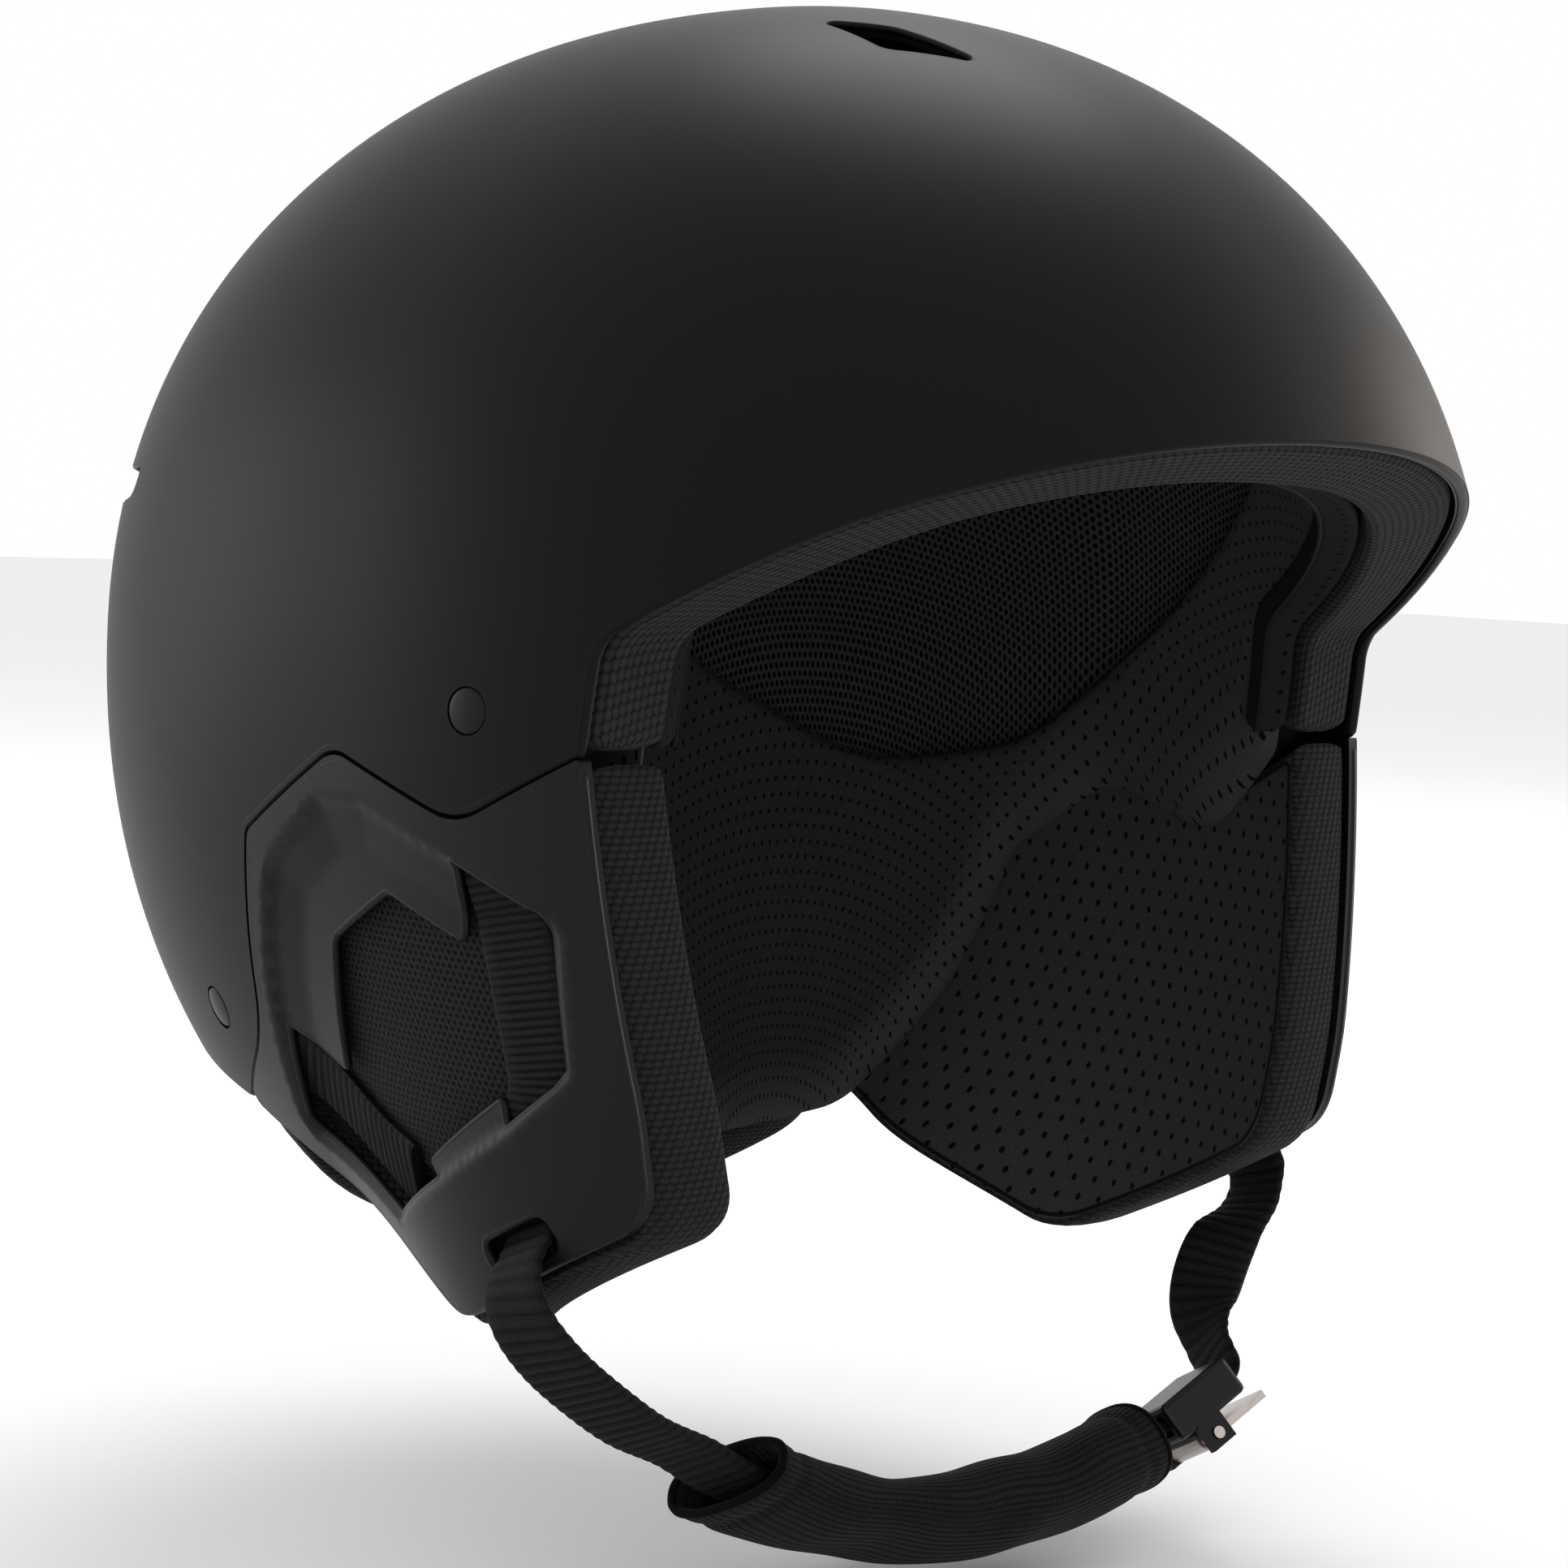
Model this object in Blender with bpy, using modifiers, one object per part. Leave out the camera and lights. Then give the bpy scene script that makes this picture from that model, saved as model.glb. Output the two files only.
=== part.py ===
"""Ski helmet: hard shell, foam liner, covered brow, comfort liner, two ear assemblies, a Y of webbing
on each side and a chin strap with a toothed buckle.

Metres, +Z up. The origin is the centre of the head at its widest level. The helmet faces -Y, and
the wearer's right side is at -X.
"""

import math

import bmesh
import bpy
from mathutils import Matrix, Vector

MM = 0.001

# Outer surface: a rounded-square dome, given by its half axes.
HALF_WIDTH = 112.0 * MM
FRONT_REACH = 129.9 * MM
BACK_REACH = 149.3 * MM
CROWN_HEIGHT = 122.6 * MM
NAPE_DROP = 137.1 * MM
FLAP_DROP = 205.0 * MM
FLAP_BLEND_BACK = 30.0 * MM
FLAP_BLEND_LENGTH = 80.0 * MM
PLAN_POWER = 2.19
HEIGHT_POWER = 2.11
RINGS = 16
SEGMENTS = 32
ROUND_STEPS = 16
LOW_LAYER_ANGLE = 153.0

# Depth of each layer under the outer surface, and its thickness.
SHELL_THICK = 2.5 * MM
STRAP_DEPTH = 2.9 * MM
STRAP_THICK = 1.3 * MM
FOAM_DEPTH = 4.7 * MM
FOAM_THICK = 12.7 * MM
TRIM_DEPTH = 2.8 * MM
TRIM_THICK = 15.2 * MM
DOT_DEPTH = 18.0 * MM
DOT_THICK = 0.6 * MM
LINER_DEPTH = 18.9 * MM
LINER_THICK = 6.5 * MM
NAPE_DEPTH = 4.2 * MM
NAPE_THICK = 13.4 * MM
CROWN_MESH_DEPTH = 20.6 * MM
CROWN_MESH_THICK = 1.2 * MM
EAR_MESH_DEPTH = 4.7 * MM
EAR_MESH_THICK = 0.9 * MM
EAR_PAD_DEPTH = 6.4 * MM
EAR_PAD_THICK = 12.0 * MM
EDGE_GAP = 0.2 * MM

# Side outlines as corners (y, z, corner radius) in millimetres, anticlockwise seen from +X.
RIM = [(-140, 53.8, 0), (-90, 29.3, 150), (-56.5, 8.8, 9), (-54.3, -9.8, 0.5)]
SEAM = [(-30.4, -22.8, 12), (-1, -12.6, 8), (26, -29, 4), (34, -66, 25), (53.5, -82.3, 2)]
HEM = [(80, -78.5, 30), (165, -67, 0), (165, 135, 0), (-140, 135, 0)]
FLAP_FRONT = [(-54.3, -9.8, 0.5), (-61.4, -68, 60), (-61.2, -85.5, 11), (-14, -111, 13)]
PAD_FRONT = [(-54.3, -10.4, 1.5), (-61.4, -68, 60), (-61, -88, 12), (-12, -114, 14)]
PAD_REAR = [(50, -87, 4), (32.5, -66, 25), (25, -30, 4), (-1, -13.4, 8), (-30.4, -23.6, 12)]
# The trim's edges behind the rim, its lower end's height, and the foam's clearance, in millimetres.
TRIM_INSET = 0.6
BROW_BAND = 8.0
TRIM_END = -9.6
FOAM_GAP = 0.4
FOAM_INSET = 1.0
BROW_PAD = [(-138, 54.9, 0), (-90, 30.6, 0), (-55.8, 9.8, 8), (-53, -9, 0), (-45.8, -9, 0),
            (-48.8, 13.5, 9), (-86.4, 36.9, 0), (-134.5, 61.2, 0)]
LINER = [(-134, 62, 0), (-86, 37.5, 60), (-48.2, 14, 9), (-45, -9, 5), (-30, -18.5, 10), (-1, -9.5, 8),
         (29.5, -27, 4), (37, -64, 20), (40, -86, 6), (58, -99, 15), (95, -106, 20), (165, -100, 0),
         (165, 135, 0), (-134, 135, 0)]
NAPE = [(53.5, -83.6, 1), (80, -79.6, 30), (165, -68, 0), (165, -112, 0), (77, -113.5, 25),
        (62, -109, 12), (53, -98, 8)]
CROWN_OPENING = [(-62, 52, 20), (-20, 13, 60), (20, -17, 40), (60, -24, 40), (100, -3, 40),
                 (118, 50, 30), (118, 135, 0), (-62, 135, 0)]
WINDOW = [(-10.5, -35.5, 3), (6.5, -45.5, 4), (11.5, -69.5, 0.5), (26.8, -63.5, 0.5), (32, -83.5, 3),
          (2, -94.6, 1.5), (-18, -84, 0.5), (-14.8, -81.6, 0.5), (-34.5, -68.2, 0.5), (-36, -73, 0.5),
          (-47.4, -64.6, 1), (-50, -61, 2), (-48.2, -35.5, 3), (-44, -34.3, 0.5), (-28.7, -28, 0.5),
          (-28.3, -42, 1)]
EAR_MESH = [(-38, -34, 4), (-5, -30, 6), (14, -42, 6), (20, -72, 6), (-14, -84.5, 4), (-40, -76, 4)]

# Hook-and-loop dots on each side of the foam, as (y, z) in millimetres.
LINER_DOTS = [(-20, 30), (45, 30), (95, 20)]
DOT_RADIUS = 8.0
DOT_SIDES = 12

# Webbing inside each ear cover: centre lines (y, z) in millimetres, and the web's width.
WEB_WIDTH = 15.0 * MM
FRONT_WEB = [(-32.8, 3), (-33.5, -14), (-36.4, -31), (-40.2, -52), (-42.2, -69), (-40.5, -83)]
REAR_WEB = [(56, -61.5), (41, -66.5), (26, -73), (8, -83), (-4, -87.5)]
RIVETS = {"front": (-32.6, -4.1), "rear": (51.5, -64.5)}
RIVET_RADIUS = 3.9 * MM
RIVET_SHANK = 1.6 * MM
RIVET_LENGTH = 11.0 * MM
RIVET_CAP_DEPTH = 2.2 * MM
RIVET_GAP = 0.3 * MM

# Openings that ventilate the shell: corners (x, y, radius) seen from above, (x, z, radius) from behind.
TOP_VENT = [(33.5, -27.5, 2), (36.8, -49.5, 5), (23.5, -64, 2), (25.5, -42, 8)]
REAR_VENT = [(60, 22, 3), (92, 27, 3), (92, 34, 3), (60, 32, 3)]

# Slot in each ear cover for the chin strap: centre (y, z), length, height and slope.
SLOT = (-36.3 * MM, -92.6 * MM)
SLOT_LENGTH = 18.0 * MM
SLOT_HEIGHT = 7.6 * MM
SLOT_SLOPE = math.radians(-27)
SLOT_CORNER = 2.2

# Chin strap: an arc in an upright plane that turns a little away from the helmet's X axis.
ARC_CENTRE = Vector((6.0, -46.8, -35.5)) * MM
ARC_RADIUS = 117.5 * MM
ARC_YAW = math.radians(-7.4)
STRAP_TILT = math.radians(30)
CHIN_WEB_WIDTH = 14.0 * MM
CHIN_WEB_THICK = 2.4 * MM
RIGHT_ARC = (-34.0, -15.0)
TONGUE_WEB_ARC = (-2.0, 18.6)
TONGUE_ARC = (18.9, 30.0)
PAD_ARC = (-28.5, 19.5)
PAD_WIDTH = 27.0 * MM
PAD_THICK = 11.0 * MM
PAD_WALL = 2.4 * MM
TONGUE_WIDTH = 12.6 * MM
TONGUE_THICK = 1.8 * MM
TOOTH_HEIGHT = 0.7 * MM
TOOTH_PITCH_DEG = 0.8
RIGHT_WEB = [(-92.9, -35.2, -90.4), (-95.6, -36.2, -93.3), (-98.6, -37.2, -96.5), (-99.4, -38.4, -101.0),
             (-97.0, -39.4, -106.5), (-91.0, -39.6, -113.0), (-82.0, -39.2, -120.0),
             (-71.0, -38.7, -127.3)]
LEFT_WEB = [(92.9, -35.2, -90.4), (95.6, -36.2, -93.3), (98.6, -37.2, -96.5), (99.6, -38.6, -101.0),
            (95.6, -40.0, -106.5), (87.0, -41.2, -111.0), (80.0, -43.0, -117.5), (75.0, -45.6, -124.0),
            (72.4, -49.5, -129.6)]
# Directions across the web: in the cover's slot, and half-way down the left side, where it twists.
SLOT_WIDTH_AXIS = Vector((0.0, -0.89, 0.46))
LEFT_TWIST_AXIS = Vector((0.5, -0.83, -0.05))
SLOT_STATIONS = 6
MOUTH_STATIONS = 3
PAD_SIDES = 16
PAD_STEPS = 12
PAD_SQUARENESS = 0.8
TONGUE_PLAIN_STEPS = 4

# Buckle on the strap's left end, in its own frame: along the strap, across it and outwards.
BUCKLE_ANGLE = 27.3
WEB_ANCHOR = (6.6, 0.0)
WEB_APPROACH = (11.0, 0.1)
BASE_SIZE = (18.0, 19.0, 7.8)
CAVITY = (15.0, 4.4)
LEVER_PIVOT = (-2.0, 6.8)
PIN_RADIUS = 1.2
PIN_GAP = 0.25
PIN_OVERHANG = 0.4
CHEEK_INNER = 7.7
CHEEK_REACH = 3.0
CHEEK_RISE = 2.4
CHEEK_SINK = 1.0
CHEEK_INSET = 0.05
PAWL_WINDOW = (-0.6, 7.2, 4.2)
HUB_RADIUS = 2.4
HUB_RIGHT = -7.3
HUB_LEFT = 4.8
PLATE_START = 3.4
PLATE_SINK = 0.7
PLATE_RISE = 0.9
PLATE_HALF_WIDTH = 7.3
ARM_REACH = 4.4
LEVER_TIP = 12.6
PAWL_SPAN = (0.4, 2.0)
PAWL_HALF_WIDTH = 3.6
PAWL_TIP = 2.1
BORE_REACH = 12.0

# Torsion spring: turns, coil radius, wire radius, and where it starts and ends across the buckle.
SPRING_TURNS = 3
SPRING_COIL = 1.85
SPRING_WIRE = 0.22
SPRING_SPAN = (5.25, 7.35)

# Crown pad: a turned cushion with a flat seat for the top of the head.
CROWN_SEAT_Z = 90.0 * MM
CROWN_PAD_RADIUS = 30.0 * MM
# The cushion's outline from its top to its seat: share of the radius, height above the seat.
CROWN_PAD_PROFILE = [(0, 9.8), (0.5, 8.6), (0.85, 5.8), (1, 3.4), (1, 1.8), (0.93, 0), (0, 0)]

# Goggle-strap keeper on the centre line of the back.
KEEPER_HINGE = (151.9 * MM, -4.0 * MM)
KEEPER_WIDTH = 18.0 * MM
KEEPER_THICK = 1.8 * MM
KEEPER_HEM = 1.6 * MM
# Hinge block above the loop: half width, depth under and over the hinge line, start and end above it.
KEEPER_BLOCK = (12.0, -2.3, 1.6, 2.2, 10.0)
# Distance below the hinge and stand-off from the shell, in millimetres.
KEEPER_BULGE = [(4, 4.4), (12, 7.3), (22, 7.8), (30, 5.6), (35.5, 3.7), (41, 3.55), (47, 3.5)]

SNAP_DROP = 42.0 * MM
SNAP_CAP_STAND_OFF = 3.95 * MM
# Turned outlines of the snap's two halves: (radius, height) in millimetres.
STUD_PROFILE = [(0, 2.0), (3.4, 2.0), (4.6, 1.0), (4.6, 0.4), (0, 0.4)]
CAP_PROFILE = [(0, 2.4), (4.0, 2.1), (5.4, 1.3), (5.4, 0.9), (0, 0.9)]

COLLECTION = "ski_helmet"


# ---------------------------------------------------------------- scene and materials

def clear_scene():
    for old in list(bpy.data.objects):
        bpy.data.objects.remove(old, do_unlink=True)


def collection(name):
    found = bpy.data.collections.get(name)
    if found is None:
        found = bpy.data.collections.new(name)
        bpy.context.scene.collection.children.link(found)
    return found


def material(name, colour, roughness, metallic=0.0):
    found = bpy.data.materials.get(name)
    if found is None:
        found = bpy.data.materials.new(name)
        found.use_nodes = True
        shader = found.node_tree.nodes["Principled BSDF"]
        shader.inputs["Base Color"].default_value = (*colour, 1.0)
        shader.inputs["Roughness"].default_value = roughness
        shader.inputs["Metallic"].default_value = metallic
    return found


def hard_plastic():
    return material("matte_black_abs", (0.012, 0.012, 0.013), 0.55)


def foam():
    return material("expanded_foam", (0.03, 0.03, 0.032), 0.8)


def knit():
    return material("knit_fabric", (0.025, 0.024, 0.022), 0.9)


def lining():
    return material("perforated_lining", (0.02, 0.02, 0.02), 0.75)


def webbing():
    return material("ribbed_webbing", (0.015, 0.015, 0.016), 0.7)


def buckle_plastic():
    return material("buckle_plastic", (0.01, 0.01, 0.01), 0.35)


def steel():
    return material("brushed_steel", (0.55, 0.52, 0.5), 0.35, 1.0)


def add_object(name, mesh, finish, parent=None):
    """Links a mesh to the helmet's collection; a parent empty sits on the piece's joint axis."""
    piece = bpy.data.objects.new(name, mesh)
    collection(COLLECTION).objects.link(piece)
    mesh.materials.append(finish)
    if parent is not None:
        piece.parent = parent
        piece.matrix_parent_inverse = parent.matrix_world.inverted()
    mesh.shade_smooth()
    mesh.set_sharp_from_angle(angle=math.radians(32))
    return piece


def axis_empty(name, place, axis):
    """An empty on a joint, with its Z axis along the joint's axis."""
    empty = bpy.data.objects.new(name, None)
    collection(COLLECTION).objects.link(empty)
    turn = Vector((0, 0, 1)).rotation_difference(Vector(axis).normalized())
    empty.matrix_world = Matrix.Translation(place) @ turn.to_matrix().to_4x4()
    bpy.context.view_layer.update()
    return empty


# ---------------------------------------------------------------- the dome

def signed_power(value, power):
    return math.copysign(abs(value) ** power, value)


def drop_at(y):
    """Lower half axis: long over the ear flaps, shorter towards the nape."""
    t = (FLAP_BLEND_BACK - y) / FLAP_BLEND_LENGTH
    t = min(1.0, max(0.0, t))
    return NAPE_DROP + (FLAP_DROP - NAPE_DROP) * t * t * (3 - 2 * t)


def dome_point(direction, depth):
    """The point of the surface at a depth that lies in a direction of the unit sphere."""
    theta = math.acos(max(-1.0, min(1.0, direction.z)))
    phi = math.atan2(direction.x, -direction.y)
    spread = abs(math.sin(theta)) ** (2 / HEIGHT_POWER)
    reach = FRONT_REACH if math.cos(phi) > 0 else BACK_REACH
    x = (HALF_WIDTH - depth) * spread * signed_power(math.sin(phi), 2 / PLAN_POWER)
    y = -(reach - depth) * spread * signed_power(math.cos(phi), 2 / PLAN_POWER)
    height = CROWN_HEIGHT if direction.z > 0 else drop_at(y)
    z = (height - depth) * signed_power(direction.z, 2 / HEIGHT_POWER)
    return Vector((x, y, z))


def dome_x(y, z, depth=0.0):
    """Half width of the surface at a depth, at a place in the side view."""
    reach = (FRONT_REACH if y < 0 else BACK_REACH) - depth
    height = (CROWN_HEIGHT if z > 0 else drop_at(y)) - depth
    level = (1 - abs(z / height) ** HEIGHT_POWER) ** (PLAN_POWER / HEIGHT_POWER)
    return (HALF_WIDTH - depth) * (level - abs(y / reach) ** PLAN_POWER) ** (1 / PLAN_POWER)


def dome_normal(y, z):
    """Outward normal of the outer surface on the +X side."""
    step = 0.5 * MM
    slope_y = (dome_x(y + step, z) - dome_x(y - step, z)) / (2 * step)
    slope_z = (dome_x(y, z + step) - dome_x(y, z - step)) / (2 * step)
    return Vector((1.0, -slope_y, -slope_z)).normalized()


def dome_sheet(name, depth, lowest_angle=135.0):
    """Open sheet of the dome from the crown down to an angle from the vertical."""
    sheet = bmesh.new()
    bmesh.ops.create_uvsphere(sheet, u_segments=SEGMENTS, v_segments=RINGS, radius=1.0)
    limit = math.cos(math.radians(lowest_angle + 1))
    low = [v for v in sheet.verts if v.co.z < limit]
    bmesh.ops.delete(sheet, geom=low, context="VERTS")
    for vertex in sheet.verts:
        vertex.co = dome_point(vertex.co.normalized(), depth)
    mesh = bpy.data.meshes.new(name)
    sheet.to_mesh(mesh)
    sheet.free()
    return mesh


def solidify(piece, thickness, offset=-1.0):
    modifier = piece.modifiers.new("thickness", "SOLIDIFY")
    modifier.thickness = thickness
    modifier.offset = offset
    modifier.use_even_offset = True
    modifier.use_rim = True


def dome_layer(name, depth, thickness, finish, lowest_angle=135.0):
    piece = add_object(name, dome_sheet(name, depth, lowest_angle), finish)
    solidify(piece, thickness)
    return piece


# ---------------------------------------------------------------- outlines and cutters

def offset_corners(corners, distance):
    """Moves every edge of an anticlockwise outline inwards by a distance, in the corners' units."""
    moved = []
    count = len(corners)
    for i, corner in enumerate(corners):
        before = Vector(corners[i - 1][:2])
        here = Vector(corner[:2])
        after = Vector(corners[(i + 1) % count][:2])
        edge_in = (here - before).normalized()
        edge_out = (after - here).normalized()
        normal_in = Vector((-edge_in.y, edge_in.x))
        normal_out = Vector((-edge_out.y, edge_out.x))
        bisector = (normal_in + normal_out).normalized()
        shift = distance / max(0.3, bisector.dot(normal_in))
        place = here + bisector * shift
        moved.append((place.x, place.y, corner[2]))
    return moved


def rounded(corners):
    """Outline points in metres, with an arc at each corner that has a radius."""
    points = []
    count = len(corners)
    for i, corner in enumerate(corners):
        here = Vector(corner[:2])
        radius = corner[2]
        to_before = (Vector(corners[i - 1][:2]) - here)
        to_after = (Vector(corners[(i + 1) % count][:2]) - here)
        room = min(to_before.length, to_after.length) * 0.48
        to_before.normalize()
        to_after.normalize()
        half = math.acos(max(-1.0, min(1.0, to_before.dot(to_after)))) / 2
        if radius <= 0 or half > math.radians(89):
            points.append(here * MM)
            continue
        tangent = min(radius / math.tan(half), room)
        radius = tangent * math.tan(half)
        centre = here + (to_before + to_after).normalized() * (radius / math.sin(half))
        start = here + to_before * tangent - centre
        end = here + to_after * tangent - centre
        sweep = start.angle_signed(end)
        steps = max(1, math.ceil(abs(sweep) / math.radians(22)))
        for k in range(steps + 1):
            turn = Matrix.Rotation(-sweep * k / steps, 2)
            points.append((centre + turn @ start) * MM)
    return points


def flat_prism(name, points, low, high):
    """A cutter: a filled outline in its local XY plane, extruded from low to high along Z."""
    curve = bpy.data.curves.new(name, "CURVE")
    curve.dimensions = "2D"
    curve.fill_mode = "BOTH"
    curve.extrude = (high - low) / 2
    spline = curve.splines.new("POLY")
    spline.points.add(len(points) - 1)
    for slot, point in zip(spline.points, points):
        slot.co = (point[0], point[1], 0.0, 1.0)
    spline.use_cyclic_u = True
    source = bpy.data.objects.new(name + "_curve", curve)
    bpy.context.scene.collection.objects.link(source)
    bpy.context.view_layer.update()
    mesh = bpy.data.meshes.new_from_object(source.evaluated_get(bpy.context.evaluated_depsgraph_get()))
    bpy.data.objects.remove(source, do_unlink=True)
    welded = bmesh.new()
    welded.from_mesh(mesh)
    bmesh.ops.remove_doubles(welded, verts=welded.verts, dist=1e-6)
    bmesh.ops.translate(welded, verts=welded.verts, vec=(0, 0, (high + low) / 2))
    bmesh.ops.recalc_face_normals(welded, faces=welded.faces)
    welded.to_mesh(mesh)
    welded.free()
    return mesh


def cutter(name, mesh, placement):
    piece = bpy.data.objects.new(name, mesh)
    collection("cutters").objects.link(piece)
    piece.matrix_world = placement
    piece.hide_render = True
    piece.display_type = "WIRE"
    return piece


# Columns are the world directions of the cutter's own X, Y and Z.
SIDE_VIEW = Matrix(((0, 0, 1, 0), (1, 0, 0, 0), (0, 1, 0, 0), (0, 0, 0, 1)))
TOP_VIEW = Matrix.Identity(4)
BACK_VIEW = Matrix(((1, 0, 0, 0), (0, 0, -1, 0), (0, 1, 0, 0), (0, 0, 0, 1)))


def side_cutter(name, points, side=0):
    """A prism along X; side -1 or +1 keeps it to one half of the helmet."""
    low, high = {0: (-150, 150), -1: (-150, -5), 1: (5, 150)}[side]
    return cutter(name, flat_prism(name, points, low * MM, high * MM), SIDE_VIEW)


def cut(piece, tool, operation="DIFFERENCE"):
    modifier = piece.modifiers.new(tool.name, "BOOLEAN")
    modifier.operation = operation
    modifier.object = tool
    modifier.solver = "EXACT"


# ---------------------------------------------------------------- shell, foam and linings

def vent_cutters(scale):
    """The two top vents and the two rear vents, a little smaller in the foam than in the shell."""
    tools = []
    for side in (-1, 1):
        top = [(side * x, y, r) for x, y, r in TOP_VENT]
        rear = [(side * x, z, r) for x, z, r in REAR_VENT]
        if side < 0:
            top.reverse()
        else:
            rear.reverse()
        top = rounded(offset_corners(top, -scale))
        rear = rounded(rear)
        label = f"{scale:.0f}_{side}"
        tools.append(cutter("top_vent" + label, flat_prism("t", top, 70 * MM, 135 * MM), TOP_VIEW))
        tools.append(cutter("rear_vent" + label, flat_prism("r", rear, -160 * MM, -60 * MM), BACK_VIEW))
    return tools


def outer_shell(vents, rivet_holes):
    piece = dome_layer("outer_shell", 0.0, SHELL_THICK, hard_plastic())
    outline = offset_corners(RIM + SEAM + HEM, EDGE_GAP / MM)
    cut(piece, side_cutter("shell_outline", rounded(outline)), "INTERSECT")
    for tool in vents + rivet_holes:
        cut(piece, tool)


def brow_line(inset):
    """The rim's corners, moved inwards by a distance in millimetres."""
    return offset_corners(RIM + SEAM + HEM, inset)[: len(RIM)]


def foam_liner(vents, rivet_holes):
    piece = dome_layer("foam_liner", FOAM_DEPTH, FOAM_THICK, foam())
    outline = brow_line(BROW_BAND + FOAM_GAP) + offset_corners(RIM + SEAM + HEM, FOAM_INSET)[len(RIM):]
    cut(piece, side_cutter("foam_outline", rounded(outline)), "INTERSECT")
    for tool in vents + rivet_holes:
        cut(piece, tool)


def brow_trim():
    piece = dome_layer("brow_trim", TRIM_DEPTH, TRIM_THICK, knit())
    lower = brow_line(TRIM_INSET)
    upper = brow_line(BROW_BAND)
    lower[-1] = (lower[-1][0], TRIM_END, 0)
    upper[-1] = (upper[-1][0], TRIM_END, 0)
    cut(piece, side_cutter("brow_band", rounded(lower + upper[::-1])), "INTERSECT")


def brow_pad():
    piece = dome_layer("brow_pad", LINER_DEPTH, LINER_THICK, lining())
    cut(piece, side_cutter("brow_pad_outline", rounded(BROW_PAD)), "INTERSECT")


def comfort_liner():
    piece = dome_layer("comfort_liner", LINER_DEPTH, LINER_THICK, lining(), LOW_LAYER_ANGLE)
    cut(piece, side_cutter("liner_outline", rounded(LINER)), "INTERSECT")
    cut(piece, side_cutter("crown_opening", rounded(CROWN_OPENING)))


def nape_pad():
    """Soft roll under the foam, between the shell's hem and the comfort liner."""
    piece = dome_layer("nape_pad", NAPE_DEPTH, NAPE_THICK, knit(), LOW_LAYER_ANGLE)
    cut(piece, side_cutter("nape_outline", rounded(NAPE)), "INTERSECT")


def crown_mesh():
    piece = dome_layer("crown_mesh", CROWN_MESH_DEPTH, CROWN_MESH_THICK, knit())
    outline = offset_corners(CROWN_OPENING, 0.5)
    cut(piece, side_cutter("crown_mesh_outline", rounded(outline)), "INTERSECT")


def crown_pad():
    """Turned cushion: domed on top under the mesh, flat underneath."""
    profile = [(share * CROWN_PAD_RADIUS, CROWN_SEAT_Z + up * MM) for share, up in CROWN_PAD_PROFILE]
    turned("crown_pad", profile, Matrix.Identity(4), lining(), SEGMENTS)


def liner_dot(side, number, place):
    """Hook-and-loop dot that holds the comfort liner to the foam."""
    y, z = place
    label = f"liner_dot_{side_name(side)}_{number}"
    piece = dome_layer(label, DOT_DEPTH, DOT_THICK, knit())
    circle = []
    for k in range(DOT_SIDES):
        angle = 2 * math.pi * k / DOT_SIDES
        circle.append(Vector((y + DOT_RADIUS * math.cos(angle), z + DOT_RADIUS * math.sin(angle))) * MM)
    cut(piece, side_cutter("outline_" + label, circle, side), "INTERSECT")


# ---------------------------------------------------------------- ear assemblies

def web_band(centre_line, width):
    """Side outline of a flat web that follows a centre line, in metres."""
    left = []
    right = []
    for i, (y, z) in enumerate(centre_line):
        before = Vector(centre_line[max(0, i - 1)])
        after = Vector(centre_line[min(len(centre_line) - 1, i + 1)])
        across = (after - before).normalized().orthogonal() * (width / 2)
        here = Vector((y, z)) * MM
        left.append(here + across)
        right.append(here - across)
    return left + right[::-1]


def side_name(side):
    return "left" if side > 0 else "right"


def slot_points():
    """Rounded slot outline about the slot's centre."""
    half_length = SLOT_LENGTH / 2
    half_height = SLOT_HEIGHT / 2
    turn = Matrix.Rotation(SLOT_SLOPE, 2)
    corner = [(-half_length, -half_height), (half_length, -half_height),
              (half_length, half_height), (-half_length, half_height)]
    placed = [turn @ Vector(c) + Vector(SLOT) for c in corner]
    return rounded([(p.x / MM, p.y / MM, SLOT_CORNER) for p in placed])


def ear_cover(side):
    piece = dome_layer("ear_cover_" + side_name(side), 0.0, SHELL_THICK, hard_plastic())
    outline = offset_corners(FLAP_FRONT + SEAM[::-1], EDGE_GAP / MM)
    cut(piece, side_cutter("cover_outline_" + side_name(side), rounded(outline), side), "INTERSECT")
    cut(piece, side_cutter("window_" + side_name(side), rounded(WINDOW), side))
    cut(piece, side_cutter("slot_" + side_name(side), slot_points(), side))


def ear_mesh(side):
    piece = dome_layer("ear_mesh_" + side_name(side), EAR_MESH_DEPTH, EAR_MESH_THICK, knit())
    cut(piece, side_cutter("mesh_outline_" + side_name(side), rounded(EAR_MESH), side), "INTERSECT")


def ear_pad(side):
    piece = dome_layer("ear_pad_" + side_name(side), EAR_PAD_DEPTH, EAR_PAD_THICK, knit())
    outline = rounded(PAD_FRONT + PAD_REAR)
    cut(piece, side_cutter("pad_outline_" + side_name(side), outline, side), "INTERSECT")


def side_web(side, name, centre_line, rivet_holes):
    piece = dome_layer(f"{name}_web_{side_name(side)}", STRAP_DEPTH, STRAP_THICK, webbing())
    band = web_band(centre_line, WEB_WIDTH)
    cut(piece, side_cutter(f"{name}_band_{side_name(side)}", band, side), "INTERSECT")
    for tool in rivet_holes:
        cut(piece, tool)


def rivet_frame(side, place):
    """Placement of a rivet: its local Z is the shell's outward normal."""
    y, z = place[0] * MM, place[1] * MM
    normal = dome_normal(y, z)
    normal.x *= side
    point = Vector((side * dome_x(y, z), y, z))
    turn = Vector((0, 0, 1)).rotation_difference(normal)
    return Matrix.Translation(point) @ turn.to_matrix().to_4x4()


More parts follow.
